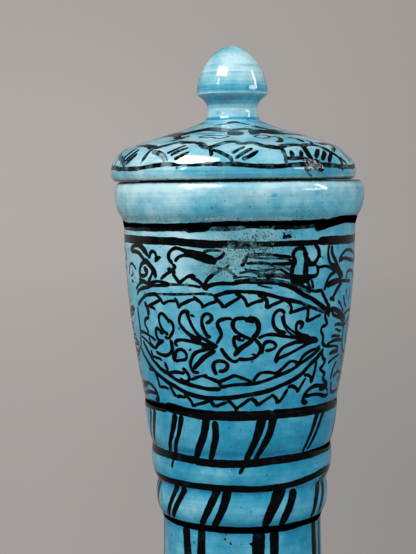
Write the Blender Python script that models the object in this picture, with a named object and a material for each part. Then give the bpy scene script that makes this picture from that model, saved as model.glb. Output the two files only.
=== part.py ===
"""A turned ceramic vase with a rolled collar, a ringed waist and a spreading foot, and its loose domed lid.

The vase stands on z = 0 with its axis on z. Both pieces are thrown on the wheel, so each is one profile
spun round its own axis. Sizes are in millimetres and profile points are (radius, height).
"""

import math

import bmesh
import bpy

MM = 0.001
SEGMENTS = 48
SHARP_ANGLE = math.radians(50)
MERGE_DISTANCE = 0.000001

# Heights of the vase's zones, stacked from the foot up to the rim
FOOT_HEIGHT = 22.0
FLARE_HEIGHT = 143.5
LOWER_RING_HEIGHT = 18.9
UPPER_RING_HEIGHT = 19.3
BAND_HEIGHT = 21.3
BOWL_HEIGHT = 93.0
COLLAR_HEIGHT = 22.0

# Radii of the vase's outside
FOOT_RADIUS = 64.0
FOOT_NECK_RADIUS = 58.5
WAIST_RADIUS = 41.7
LOWER_RING_RADIUS = 45.2
RING_GROOVE_RADIUS = 44.0
UPPER_RING_RADIUS = 47.4
BAND_FOOT_RADIUS = 46.7
BAND_RADIUS = 49.6
RIDGE_RADIUS = 51.0
BOWL_FOOT_RADIUS = 50.2
BOWL_LEAN_RADIUS = 55.6
BOWL_TOP_RADIUS = 60.3
COLLAR_RADIUS = 65.0

# Rim, wall and underside of the vase
RIM_EDGE_WIDTH = 3.6
RIM_EDGE_HEIGHT = 5.8
MOUTH_RADIUS = 52.0
MOUTH_DEPTH = 12.0
WALL = 6.5
FLOOR_THICKNESS = 10.0
FLOOR_FILLET = 14.0
FOOT_RING_WIDTH = 11.0
FOOT_RING_EDGE = 5.0
FOOT_RECESS_DEPTH = 4.0
FOOT_RECESS_SLOPE = 3.0

# Lid: its seat and locating flange
SEAT_GAP = 0.3
LID_PLAY = 3.4
FLANGE_DEPTH = 9.0
FLANGE_THICKNESS = 5.5
FLANGE_EDGE = 1.5
SEAT_THICKNESS = 6.5
HOLLOW_UNDERCUT = 8.0

# Lid: its dome
LID_RADIUS = 63.8
LID_EDGE_WIDTH = 3.3
LID_EDGE_HEIGHT = 4.2
SHOULDER_RADIUS = 56.0
SHOULDER_HEIGHT = 12.4
SHOULDER_SLOPE = 0.4
DOME_HEIGHT = 14.0
DOME_WALL = 7.0

# Lid: its knob
KNOB_FOOT_RADIUS = 16.5
KNOB_NECK_RADIUS = 12.9
KNOB_NECK_HEIGHT = 6.4
KNOB_RADIUS = 18.25
KNOB_UNDERCUT_HEIGHT = 9.4
KNOB_BULB_HEIGHT = 24.8
KNOB_TIP_RADIUS = 8.5
KNOB_TIP_HEIGHT = 1.7

# How far each curve's handles reach, as shares of the curve's own rise
QUARTER_ROUND = 0.5523
RING_HANDLE = 0.2
FLARE_FOOT_HANDLE = 0.25
FLARE_NECK_HANDLE = 0.45
FLARE_NECK_SHARE = 0.55
BOWL_FOOT_HANDLE = 0.3
BOWL_TOP_HANDLE = 0.38
COVE_HANDLE = 0.3
LID_SIDE_HANDLE = 0.4
LID_DOME_HANDLE = 0.25
KNOB_NECK_HANDLE = 0.6

# How many straight steps each curve is cut into
EDGE_STEPS = 4
RING_STEPS = 6
SLOPE_STEPS = 8
CAVITY_STEPS = 6
BULB_STEPS = 9

TURQUOISE = (0.10, 0.42, 0.58, 1.0)
PALE_TURQUOISE = (0.16, 0.50, 0.64, 1.0)
GLAZE_ROUGHNESS = 0.12


def zone_tops():
    """Height above the base of the top of each zone, by name."""
    zones = (
        ("foot", FOOT_HEIGHT),
        ("flare", FLARE_HEIGHT),
        ("lower_ring", LOWER_RING_HEIGHT),
        ("upper_ring", UPPER_RING_HEIGHT),
        ("band", BAND_HEIGHT),
        ("bowl", BOWL_HEIGHT),
        ("rim", COLLAR_HEIGHT),
    )
    tops = {}
    height = 0.0
    for name, tall in zones:
        height += tall
        tops[name] = height
    return tops


def between(start, end, share):
    """The number that lies this share of the way from start to end."""
    return start + (end - start) * share


def curve(controls, steps):
    """Points along a Bezier curve, from its first control point to its last."""
    found = []
    for step in range(steps + 1):
        share = step / steps
        points = list(controls)
        while len(points) > 1:
            points = [
                (between(a[0], b[0], share), between(a[1], b[1], share))
                for a, b in zip(points, points[1:])
            ]
        found.append(points[0])
    return found


def moulding(low, high, crown, steps):
    """A rounded ring that rises from one groove to the next and swells to the crown radius half way."""
    handle = (8 * crown - low[0] - high[0]) / 6
    low_handle = (handle, between(low[1], high[1], RING_HANDLE))
    high_handle = (handle, between(high[1], low[1], RING_HANDLE))
    return curve([low, low_handle, high_handle, high], steps)


def ogee(low, high, steps, low_pull, high_pull):
    """An S-shaped rise that leaves and arrives upright."""
    low_handle = (low[0], between(low[1], high[1], low_pull))
    high_handle = (high[0], between(high[1], low[1], high_pull))
    return curve([low, low_handle, high_handle, high], steps)


def quarter(upright, level, steps):
    """A quarter of an ellipse from an upright end to a level one."""
    rising = (upright[0], between(upright[1], level[1], QUARTER_ROUND))
    flat = (between(level[0], upright[0], QUARTER_ROUND), level[1])
    return curve([upright, rising, flat, level], steps)


def joined(*runs):
    """One profile from runs that meet end to end, with each shared point once."""
    profile = list(runs[0])
    for run in runs[1:]:
        starts_here = math.dist(profile[-1], run[0]) < MERGE_DISTANCE
        profile += run[1:] if starts_here else run
    return profile


def flare_controls(top, inset):
    """The spreading foot from the foot's roll up to the waist, moved in by the inset."""
    foot = FOOT_NECK_RADIUS - inset
    waist = WAIST_RADIUS - inset
    return [
        (foot, top["foot"]),
        (between(foot, waist, FLARE_NECK_SHARE), between(top["foot"], top["flare"], FLARE_FOOT_HANDLE)),
        (waist, between(top["flare"], top["foot"], FLARE_NECK_HANDLE)),
        (waist, top["flare"]),
    ]


def bowl_controls(top, inset):
    """The bowl from the ridge up to the collar, moved in by the inset."""
    return [
        (BOWL_FOOT_RADIUS - inset, top["band"]),
        (BOWL_LEAN_RADIUS - inset, between(top["band"], top["bowl"], BOWL_FOOT_HANDLE)),
        (BOWL_TOP_RADIUS - inset, between(top["bowl"], top["band"], BOWL_TOP_HANDLE)),
        (BOWL_TOP_RADIUS - inset, top["bowl"]),
    ]


def foot_profile():
    """The underside from the axis out to the foot ring, and the foot's roll up to the flare."""
    ring_outer = FOOT_RADIUS - FOOT_RING_EDGE
    ring_inner = ring_outer - FOOT_RING_WIDTH
    widest = (FOOT_RADIUS, FOOT_HEIGHT / 2)
    underside = [
        (0.0, FOOT_RECESS_DEPTH),
        (ring_inner - FOOT_RECESS_SLOPE, FOOT_RECESS_DEPTH),
        (ring_inner, 0.0),
        (ring_outer, 0.0),
    ]
    edge = quarter(widest, (ring_outer, 0.0), EDGE_STEPS)[::-1]
    roll = ogee(widest, (FOOT_NECK_RADIUS, FOOT_HEIGHT), EDGE_STEPS, QUARTER_ROUND, COVE_HANDLE)
    return joined(underside, edge, roll)


def waist_profile(top):
    """The two rings and the painted band, from the flare up to the ridge."""
    waist = (WAIST_RADIUS, top["flare"])
    groove = (RING_GROOVE_RADIUS, top["lower_ring"])
    band_foot = (BAND_FOOT_RADIUS, top["upper_ring"])
    ridge = (RIDGE_RADIUS, top["band"])
    return joined(
        moulding(waist, groove, LOWER_RING_RADIUS, RING_STEPS),
        moulding(groove, band_foot, UPPER_RING_RADIUS, RING_STEPS),
        moulding(band_foot, ridge, BAND_RADIUS, RING_STEPS),
    )


def collar_profile(top):
    """The rolled collar from the bowl up and over to the flat rim."""
    bowl_top = (BOWL_TOP_RADIUS, top["bowl"])
    widest = (COLLAR_RADIUS, top["rim"] - RIM_EDGE_HEIGHT)
    rim = (COLLAR_RADIUS - RIM_EDGE_WIDTH, top["rim"])
    rise = ogee(bowl_top, widest, RING_STEPS, COVE_HANDLE, QUARTER_ROUND)
    return joined(rise, quarter(widest, rim, EDGE_STEPS))


def cavity_profile(top):
    """The inside from the mouth down to the axis at the floor."""
    floor = FOOT_RECESS_DEPTH + FLOOR_THICKNESS
    mouth = [(MOUTH_RADIUS, top["rim"]), (MOUTH_RADIUS, top["rim"] - MOUTH_DEPTH)]
    bowl = curve(bowl_controls(top, WALL), CAVITY_STEPS)[::-1]
    flare = curve(flare_controls(top, WALL), SLOPE_STEPS)[::-1]
    wall_foot = (FOOT_NECK_RADIUS - WALL, floor + FLOOR_FILLET)
    fillet = quarter(wall_foot, (wall_foot[0] - FLOOR_FILLET, floor), EDGE_STEPS)
    above_fillet = [point for point in flare if point[1] > wall_foot[1]]
    return joined(mouth, bowl, above_fillet, fillet, [(0.0, floor)])


def vase_profile():
    """The whole vase, from the axis under the foot, up the outside and down the inside."""
    top = zone_tops()
    flare = curve(flare_controls(top, 0.0), SLOPE_STEPS)
    bowl = curve(bowl_controls(top, 0.0), SLOPE_STEPS)
    return joined(
        foot_profile(), flare, waist_profile(top), bowl, collar_profile(top), cavity_profile(top)
    )


def dome_profile():
    """The lid's outside from the seat, round the edge and up over the dome to the knob's foot."""
    widest = (LID_RADIUS, LID_EDGE_HEIGHT)
    shoulder = (SHOULDER_RADIUS, LID_EDGE_HEIGHT + SHOULDER_HEIGHT)
    knob_foot = (KNOB_FOOT_RADIUS, shoulder[1] + DOME_HEIGHT)
    side_reach = (LID_RADIUS - SHOULDER_RADIUS) / 2
    dome_reach = (SHOULDER_RADIUS - KNOB_FOOT_RADIUS) * LID_DOME_HANDLE
    side = [
        widest,
        (LID_RADIUS, between(widest[1], shoulder[1], LID_SIDE_HANDLE)),
        (SHOULDER_RADIUS + side_reach, shoulder[1] - side_reach * SHOULDER_SLOPE),
        shoulder,
    ]
    slope = [
        shoulder,
        (SHOULDER_RADIUS - dome_reach, shoulder[1] + dome_reach * SHOULDER_SLOPE),
        (KNOB_FOOT_RADIUS + dome_reach, knob_foot[1] - dome_reach * SHOULDER_SLOPE),
        knob_foot,
    ]
    edge = quarter(widest, (LID_RADIUS - LID_EDGE_WIDTH, 0.0), EDGE_STEPS)[::-1]
    return joined(edge, curve(side, RING_STEPS), curve(slope, RING_STEPS))


def knob_profile(foot):
    """The knob from its foot on the dome, in to the neck and out over the acorn bulb to the tip."""
    neck = (KNOB_NECK_RADIUS, foot[1] + KNOB_NECK_HEIGHT)
    crown = (KNOB_RADIUS, neck[1] + KNOB_UNDERCUT_HEIGHT)
    tip = (0.0, crown[1] + KNOB_BULB_HEIGHT)
    cove = quarter(neck, foot, EDGE_STEPS)[::-1]
    undercut = ogee(neck, crown, RING_STEPS, KNOB_NECK_HANDLE, RING_HANDLE)
    bulb = [
        crown,
        (KNOB_RADIUS, between(crown[1], tip[1], QUARTER_ROUND)),
        (KNOB_TIP_RADIUS, tip[1] - KNOB_TIP_HEIGHT),
        tip,
    ]
    return joined(cove, undercut, curve(bulb, BULB_STEPS))


def underside_profile(dome_top):
    """The lid's underside, from the axis under the dome out round the flange to the seat."""
    flange_outer = MOUTH_RADIUS - LID_PLAY
    flange_inner = flange_outer - FLANGE_THICKNESS
    hollow_edge = (flange_inner + HOLLOW_UNDERCUT, SEAT_THICKNESS)
    hollow = quarter(hollow_edge, (0.0, dome_top - DOME_WALL), CAVITY_STEPS)[::-1]
    flange = [
        (flange_inner, 0.0),
        (flange_inner, FLANGE_EDGE - FLANGE_DEPTH),
        (flange_inner + FLANGE_EDGE, -FLANGE_DEPTH),
        (flange_outer - FLANGE_EDGE, -FLANGE_DEPTH),
        (flange_outer, FLANGE_EDGE - FLANGE_DEPTH),
        (flange_outer, 0.0),
    ]
    return joined(hollow, flange)


def lid_profile():
    """The whole lid, from the axis under the dome, round the seat and up to the knob's tip."""
    dome = dome_profile()
    knob_foot = dome[-1]
    return joined(underside_profile(knob_foot[1]), dome, knob_profile(knob_foot))


def glaze(name, colour):
    """A glossy glaze of one colour."""
    material = bpy.data.materials.new(name)
    material.use_nodes = True
    shader = material.node_tree.nodes["Principled BSDF"]
    shader.inputs["Base Color"].default_value = colour
    shader.inputs["Roughness"].default_value = GLAZE_ROUGHNESS
    shader.inputs["Metallic"].default_value = 0.0
    material.diffuse_color = colour
    return material


def turned(name, profile, material):
    """A solid of revolution from a profile that starts and ends on the axis."""
    shape = bmesh.new()
    points = [shape.verts.new((radius * MM, 0.0, height * MM)) for radius, height in profile]
    edges = [shape.edges.new(pair) for pair in zip(points, points[1:])]
    bmesh.ops.spin(
        shape,
        geom=points + edges,
        cent=(0.0, 0.0, 0.0),
        axis=(0.0, 0.0, 1.0),
        angle=math.tau,
        steps=SEGMENTS,
        use_merge=True,
    )
    bmesh.ops.remove_doubles(shape, verts=shape.verts, dist=MERGE_DISTANCE)
    bmesh.ops.recalc_face_normals(shape, faces=shape.faces)
    mesh = bpy.data.meshes.new(name)
    shape.to_mesh(mesh)
    shape.free()
    mesh.shade_smooth()
    mesh.set_sharp_from_angle(angle=SHARP_ANGLE)
    mesh.materials.append(material)
    piece = bpy.data.objects.new(name, mesh)
    bpy.context.scene.collection.objects.link(piece)
    return piece


def clear_scene():
    """Removes what the scene holds."""
    for old in list(bpy.data.objects):
        bpy.data.objects.remove(old)


def main():
    """Builds the vase, and the lid on its rim, pushed over against the mouth."""
    clear_scene()
    turned("vase_body", vase_profile(), glaze("vase_glaze", TURQUOISE))
    lid = turned("lid", lid_profile(), glaze("lid_glaze", PALE_TURQUOISE))
    lid_shift = SEAT_GAP - LID_PLAY
    lid.location = (lid_shift * MM, 0.0, (zone_tops()["rim"] + SEAT_GAP) * MM)


main()
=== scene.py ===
"""Lidded vase in turquoise glaze with black brushwork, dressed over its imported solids.

Both pots are turned again with fine profiles. The brushwork is laid on them as thin strokes that follow the
surface. Sizes are in millimetres, angles in degrees from the photographed side, positive to the right.
"""

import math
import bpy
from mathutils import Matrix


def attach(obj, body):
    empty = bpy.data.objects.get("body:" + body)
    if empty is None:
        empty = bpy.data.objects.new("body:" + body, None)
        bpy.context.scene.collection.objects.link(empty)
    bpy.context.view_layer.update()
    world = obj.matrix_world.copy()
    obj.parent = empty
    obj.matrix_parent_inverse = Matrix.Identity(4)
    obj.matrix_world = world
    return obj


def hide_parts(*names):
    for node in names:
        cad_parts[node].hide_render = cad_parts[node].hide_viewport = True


bl_info = {
    "name": "Lidded turquoise vase",
    "version": (1, 0, 0),
    "blender": (4, 5, 0),
    "location": "View3D > Sidebar > Vase",
    "description": "Builds a glazed vase, its lid, the brushwork on both and a studio stage",
    "category": "Object",
}

import bpy
from mathutils import Matrix, Vector

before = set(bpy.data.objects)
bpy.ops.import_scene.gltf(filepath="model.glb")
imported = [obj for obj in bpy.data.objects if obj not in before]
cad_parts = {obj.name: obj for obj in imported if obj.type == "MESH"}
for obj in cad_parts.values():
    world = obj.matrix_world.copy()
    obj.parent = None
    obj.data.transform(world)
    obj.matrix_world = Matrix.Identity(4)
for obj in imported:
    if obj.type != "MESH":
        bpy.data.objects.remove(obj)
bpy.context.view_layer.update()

MM = 0.001

# Zone tops above the base, from the foot to the rim
FOOT_ROLL_TOP = 11.0
FOOT_TOP = 22.0
FLARE_TOP = 165.5
LOWER_RING_TOP = 184.4
UPPER_RING_TOP = 203.7
BAND_TOP = 225.0
BOWL_TOP = 318.0
RIM_TOP = 340.0
COLLAR_TOP = RIM_TOP - 5.8

# Radii of the vase's outside, from the foot to the rim
FOOT_BASE_RADIUS = 59.0
FOOT_ROLL_RADIUS = 64.0
FLARE_RADIUS = 58.5
WAIST_RADIUS = 41.7
LOWER_RING_CROWN = 45.2
LOWER_RING_RADIUS = 44.0
UPPER_RING_CROWN = 47.4
UPPER_RING_RADIUS = 46.7
BAND_CROWN = 49.6
RIDGE_RADIUS = 51.0
BOWL_FOOT_RADIUS = 50.2
BOWL_SWELL_RADIUS = 55.6
BOWL_RADIUS = 60.3
COLLAR_RADIUS = 65.0
RIM_RADIUS = 61.4

# Inside of the vase
MOUTH_RADIUS = 52.0
MOUTH_EDGE = (
    (57.0, 0.0), (53.2, 0.0), (52.35, -0.35), (MOUTH_RADIUS, -1.2), (MOUTH_RADIUS, -7.0),
    (MOUTH_RADIUS, -12.0),
)
WALL = 6.5
FLOOR = 14.0
FLOOR_FILLET = 14.0
FLOOR_MIDDLE = 20.0

# Radius and height under the foot, and round the section of the bare ring there
UNDER_FOOT = (
    (0.0, 4.0), (20.0, 4.0), (40.0, 4.0), (44.4, 3.8), (46.4, 2.4), (48.2, 0.6), (49.4, 0.25),
    (57.8, 0.25),
)
FOOT_RING = (
    (48.4, 1.2), (48.7, 0.35), (49.3, 0.0), (53.5, 0.0), (58.0, 0.0), (58.6, 0.2), (58.9, 0.7),
    (58.4, 1.6), (53.5, 1.8), (49.0, 1.8),
)

# Lid: its place on the rim, and radius and height above the seat at the turns of its outside
LID_SEAT = RIM_TOP + 0.1
LID_SHIFT = -3.1
LID_SEAT_EDGE = (60.5, 0.0)
LID_EDGE = (63.8, 4.2)
LID_SHOULDER = (56.0, 16.6)
KNOB_FOOT = (15.9, 30.3)
KNOB_NECK = (12.9, 37.0)
KNOB_CROWN = (18.4, 44.7)
KNOB_SHOULDER = (9.5, 68.8)
KNOB_TIP = (0.0, 70.0)

# Lid's hollow and the flange under it, down one side and up the other
LID_HOLLOW_EDGE = (51.1, 6.5)
LID_HOLLOW_TOP = (0.0, 23.6)
LID_FLANGE = (
    (48.0, 3.0), (44.4, 0.6), (43.1, -1.2), (43.1, -7.4), (43.5, -8.5), (44.6, -9.0), (47.1, -9.0),
    (48.2, -8.5), (48.6, -7.4), (48.6, -0.6), (48.9, 0.0), (54.0, 0.0),
)

# Full strength, half worn, dull and thin grey-green paint
FULL = 1.0
WORN = 0.80
DULL = 0.71
FAINT = 0.64

# Medallion on the front: its two frame lines, above and below
FRAME_STROKES = (
    (1.7, FULL, ((-62.5, 277.5), (-59, 280), (-56, 281.8), (-53, 283.2), (-49, 284), (-44, 284.4))),
    (1.2, WORN, ((-45, 284.4), (-34, 284.7), (-22, 285.3), (-17, 285.5), (-12.5, 285))),
    (1.8, FULL, ((-13, 284.1), (-9, 285.4), (-6, 286.3), (-2, 286.6), (2, 286.5), (6, 286.3), (10, 285.7),
        (14, 284.7), (18, 283.5), (21, 282.6), (25, 281.6), (29, 280.6), (32, 279.7))),
    (1.7, WORN, ((31, 280), (34, 278.5), (38, 277.2), (41, 276.2), (44, 275.2), (47, 274.6))),
    (1.6, FULL, ((-63, 285.5), (-60.5, 287.6), (-57.5, 289.2), (-54.5, 289.8))),
    (1.7, FULL, ((-62.3, 282.6), (-60.5, 284.8), (-57.5, 286.2), (-54, 287), (-51.5, 287.4), (-48, 288.4),
        (-44, 288.7), (-40, 289), (-35.5, 289.4))),
    (1.3, FULL, ((-51, 289.6), (-49, 289.9), (-44, 290.7), (-39, 290.6), (-35.5, 289.8))),
    (1.2, WORN, ((-37, 289.6), (-28, 289.6), (-22, 289.2), (-18.5, 288.6))),
    ((2.2, 1.4), FULL, ((-16.5, 288.3), (-15, 289.2), (-12, 290.2), (-8, 290.6), (-4, 290.5),
        (0, 290.8))),
    (1.2, FULL, ((-1, 290.7), (4, 291), (8, 290.8), (12, 290.5), (16, 290.2), (20, 289.6))),
    (1.6, WORN, ((-3, 291.3), (4, 292), (10, 291.8), (16, 291.4), (21, 290.3))),
    (1.2, DULL, ((12, 292.4), (18, 291.6), (24, 290.2), (30, 287.6), (36, 284.6))),
    (2.2, FULL, ((18, 290.3), (20, 289.7), (24, 288.5), (28, 286.5), (32, 284), (36, 282.3), (40, 280),
        (44, 277.6), (47.5, 276))),
    (0.9, WORN, ((8, 289.8), (11, 289), (15.5, 288))),
    (2.0, FULL, ((-62, 259.5), (-59, 256), (-56.5, 253), (-54, 250.5), (-51, 248.5), (-48, 246.4),
        (-45.5, 245.3), (-43, 244.5), (-40, 243), (-37, 241.6), (-34, 240.8), (-30, 240), (-26, 239.2),
        (-22, 238.6), (-18, 238), (-14, 238), (-10.5, 238.2))),
    (1.7, FULL, ((-11, 239), (-7, 239.8), (-3, 240.4), (2, 240.6), (6, 240.8), (10, 241.4), (15, 242.8),
        (20, 244.4), (25, 246), (29, 247.6), (33, 249.8), (37, 251.8), (41, 253.8), (46, 256.4))),
    (2.1, FULL, ((-66, 255.6), (-64, 252.5), (-61.5, 250), (-58.5, 247.6), (-55, 245.2), (-51, 243),
        (-47, 241.3), (-43, 239.5), (-39, 238.3), (-35, 236.7), (-31, 235.4), (-27, 234.4), (-22, 233.6),
        (-16, 233.4), (-10, 233.5), (-5, 233.9), (0, 234.6), (4, 235.2), (8, 235.7), (13, 236.6),
        (17, 237.6), (21, 239), (25, 240.3), (29, 241.8), (32, 243.2), (35, 245), (37, 246.8),
        (40, 249.2), (43, 251), (45, 252.6), (47, 254.4), (48.5, 256))),
    (1.6, FULL, ((-63, 277), (-63.5, 272), (-63.3, 268), (-63.5, 265), (-64, 262.5), (-64.8, 259),
        (-66, 255.8))),
    (1.5, FULL, ((-64, 264), (-60, 264), (-57, 263.5), (-54, 262.7), (-51, 261.7), (-48.5, 260.6))),
    (1.5, FULL, ((-63, 261.8), (-60, 260.8), (-57, 259.5), (-54.5, 258), (-52, 257), (-50, 256.3))),
    (1.5, FULL, ((-66, 256), (-69, 254.5), (-72, 252), (-75, 250))),
)

# Teeth and scallops that hang from the frame lines
TOOTH_STROKES = (
    (1.6, FULL, ((-52.5, 277.6), (-48, 279.3), (-44, 280.9), (-42, 281.8))),
    (1.6, FULL, ((-45.5, 284.2), (-43.5, 283), (-42, 281.8), (-40.6, 279.4))),
    (1.5, FULL, ((-40.8, 279.2), (-39.5, 280.2), (-37, 281.2), (-34, 281.5), (-32.2, 281.4))),
    (1.7, FULL, ((-33.4, 283.2), (-32.2, 281.8), (-31, 279), (-31.1, 277.5))),
    (1.6, FULL, ((-31, 278), (-30, 279.6), (-27, 281), (-24, 282.3), (-22, 282.6))),
    (1.7, FULL, ((-23, 284), (-21.5, 282.9), (-19, 281), (-18.2, 279.5), (-18.5, 278))),
    (1.6, FULL, ((-18.3, 278.6), (-17.4, 279.4), (-15, 280.6), (-12, 281.6), (-10.4, 282))),
    (1.7, FULL, ((-12.5, 284), (-10.8, 282.6), (-9, 280.6), (-7.9, 278.4))),
    (1.6, FULL, ((-7.9, 278.6), (-6.3, 280), (-3.5, 281.7), (-1, 283.2), (0.2, 283.9))),
    (1.7, FULL, ((-2.5, 285.8), (0, 284.6), (2, 283), (3, 280.8), (3.4, 278.8))),
    (1.6, FULL, ((3.4, 279), (4.6, 280.2), (7, 281.3), (10, 282), (11.4, 282.3))),
    (1.7, FULL, ((8, 285), (10.5, 284), (12.3, 282.6), (12.9, 280.8), (12.2, 278))),
    (1.6, FULL, ((12.2, 278.2), (13.5, 278.8), (16, 280), (19, 281.1), (21.8, 281.9))),
    (1.7, FULL, ((21.3, 282), (23.7, 281), (25, 279), (25.4, 276.8), (24.2, 275))),
    (1.6, FULL, ((24.2, 275.1), (26.5, 275.9), (29, 276.6), (31.5, 277.2), (34, 277.4))),
    (1.7, FULL, ((34.3, 277.8), (35, 276), (35, 273.5), (34.6, 271.6), (34, 270.5))),
    (1.6, FULL, ((34, 270.8), (37, 271.3), (40, 272.4), (44, 273.5))),
    (2.4, FULL, ((-55.3, 279.8), (-53.3, 277.5), (-52.5, 275), (-52.9, 272.6))),
    (1.5, FULL, ((-52, 278), (-49, 277.5), (-47, 276.8), (-46.3, 276.2))),
    (1.6, FULL, ((-52, 272.2), (-53.5, 271.8), (-55.5, 271.2), (-56.8, 269.8), (-57, 268), (-55.6, 266.3),
        (-54.8, 264.8), (-55.5, 263.3), (-57, 262.8))),
    (1.6, FULL, ((-54.5, 255.5), (-53.5, 252.5), (-51, 251.8), (-48, 251.6), (-45.6, 250.8))),
    (2.0, FULL, ((-44, 250.3), (-43, 247.8), (-42, 245.3))),
    (1.6, FULL, ((-42, 244.8), (-39, 245.2), (-36, 245.6), (-33, 245.3), (-30.8, 245.4))),
    (1.7, FULL, ((-32.3, 248), (-30.3, 246.6), (-28.8, 244.8), (-28.3, 242.8), (-29.2, 241.6),
        (-31, 241.2), (-33, 241.8), (-34.5, 242.9))),
    (1.6, FULL, ((-27.5, 242), (-25, 243.2), (-22, 244.2), (-19, 244.7), (-17.6, 245.2))),
    (1.7, FULL, ((-20, 244.4), (-17, 243.6), (-14, 242.6), (-12, 241.8), (-11, 240.5), (-10.6, 238.8))),
    (1.6, FULL, ((-11.8, 241.8), (-9, 242.8), (-6, 244), (-3.5, 245), (-1.5, 244.6), (1, 243.7),
        (3.5, 242.7), (6, 241.7))),
    (1.6, FULL, ((6.2, 242), (7.8, 243.8), (9.5, 245.7), (12, 246.4), (15, 246.3), (18, 245.8),
        (19.5, 246), (22, 247.8), (24.3, 249.8), (26, 251), (28, 251.2), (30, 250.6), (31.5, 250.2),
        (32.5, 251.4), (34, 253.2), (36, 254.6), (40, 256), (42.5, 256.3), (45.5, 257.8))),
    (1.2, FULL, ((18, 246), (18.3, 244))),
    (1.2, FULL, ((30, 250.5), (30, 248))),
    (1.5, FULL, ((-60, 245), (-57, 245), (-54.3, 244.8))),
    (1.7, FULL, ((-53.3, 244), (-52.3, 241), (-51.5, 238), (-51.5, 236))),
    (1.6, FULL, ((-51.3, 236.3), (-49.5, 236.8), (-46, 236.8), (-43.2, 236.2))),
    (1.7, FULL, ((-42.6, 238.6), (-41, 235.8), (-39.5, 233.5), (-38.8, 232.4))),
    (1.6, FULL, ((-38.8, 232.6), (-36, 233.2), (-33, 233), (-31.3, 233.2))),
    (1.8, FULL, ((-33, 235.6), (-31, 233.5), (-29, 231.5), (-28, 229.5), (-28, 228))),
    (1.6, FULL, ((-28, 228.5), (-25.5, 229.6), (-22, 230.5), (-18.5, 231.7), (-16.6, 232.1))),
    (1.8, FULL, ((-17.4, 232.6), (-15.8, 230.5), (-14.6, 228.6))),
    (1.6, FULL, ((-14.6, 228.9), (-12.5, 229.8), (-9.5, 230.9), (-7.2, 231.5))),
    (1.8, FULL, ((-7.7, 233), (-5.5, 231.2), (-3.8, 229.4), (-2.5, 228), (-3.5, 226.4))),
    (1.6, FULL, ((-2.5, 228), (-1.5, 229), (1, 230.5), (3.5, 232.3), (5.2, 233.4))),
    (1.8, FULL, ((4.8, 233.6), (7, 232.5), (8.4, 231), (9, 229))),
    (1.6, FULL, ((9, 229.3), (11, 230.9), (13.5, 232.4), (16, 233.8), (17.4, 234.5))),
    (1.8, FULL, ((16.3, 235.1), (18.5, 233.8), (20, 232), (20, 229.8))),
    (1.6, FULL, ((20.2, 230.2), (22.5, 232), (24.5, 234.8), (26.2, 237.6))),
    (1.7, FULL, ((25.8, 237.9), (28, 238.6), (30, 238), (31.8, 236.8), (32.6, 234.6))),
    (1.6, FULL, ((32.7, 235), (34, 237.6), (35.5, 239.8), (37.4, 242.3))),
    (1.7, FULL, ((35.3, 243.5), (38, 243.4), (40.5, 242.2), (41.8, 238.7))),
    (1.6, FULL, ((41.9, 239), (42.5, 242), (43.2, 245), (43.5, 248), (43.8, 250.8))),
)

# Flower at the left of the medallion
LEFT_FLOWER_STROKES = (
    (1.7, FULL, ((-38.8, 264.4), (-41.5, 265.6), (-43.5, 267.8), (-44.4, 270.5), (-44.4, 273),
        (-43.3, 274.5), (-41.8, 274.7), (-40, 273.6), (-38.3, 271.9), (-36.4, 271), (-35.3, 269.3),
        (-35.3, 267), (-36.5, 265), (-38, 263.4), (-38.2, 261.8))),
    (1.3, FULL, ((-38.3, 271.8), (-38.2, 269.8))),
    (1.7, FULL, ((-43.5, 264.6), (-44.8, 266), (-46.3, 267.2), (-47.6, 266.2), (-48, 264), (-47.2, 262),
        (-46, 260.8), (-44, 260.9), (-42.3, 261.3))),
    (2.4, FULL, ((-45, 264.6), (-43.4, 265.4), (-41.8, 264.9))),
    (1.5, FULL, ((-42, 263), (-38.3, 262.3))),
    (1.7, FULL, ((-54.5, 262), (-54, 259.5), (-52.5, 257.8), (-50.5, 256.8), (-49, 257.3), (-47.5, 258.8),
        (-45, 260), (-42.3, 261.2))),
    (1.7, FULL, ((-50, 255), (-48, 254.2), (-45, 253.6), (-42, 253.6), (-39.5, 254.6), (-37.8, 256.5),
        (-37.5, 259), (-38.2, 262))),
    (2.0, FULL, ((-37.5, 262), (-37.3, 259), (-37.2, 256), (-37, 253), (-36.7, 250.6))),
    (1.6, FULL, ((-36.5, 251), (-33, 251.8), (-30, 252.3), (-28.7, 253.8), (-29.2, 255.8), (-31, 257.2),
        (-33, 257.2), (-34.8, 256), (-35.5, 254.3), (-36.2, 251.8))),
    (1.3, FULL, ((-27.1, 256.8), (-25.6, 258.2))),
)

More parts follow.
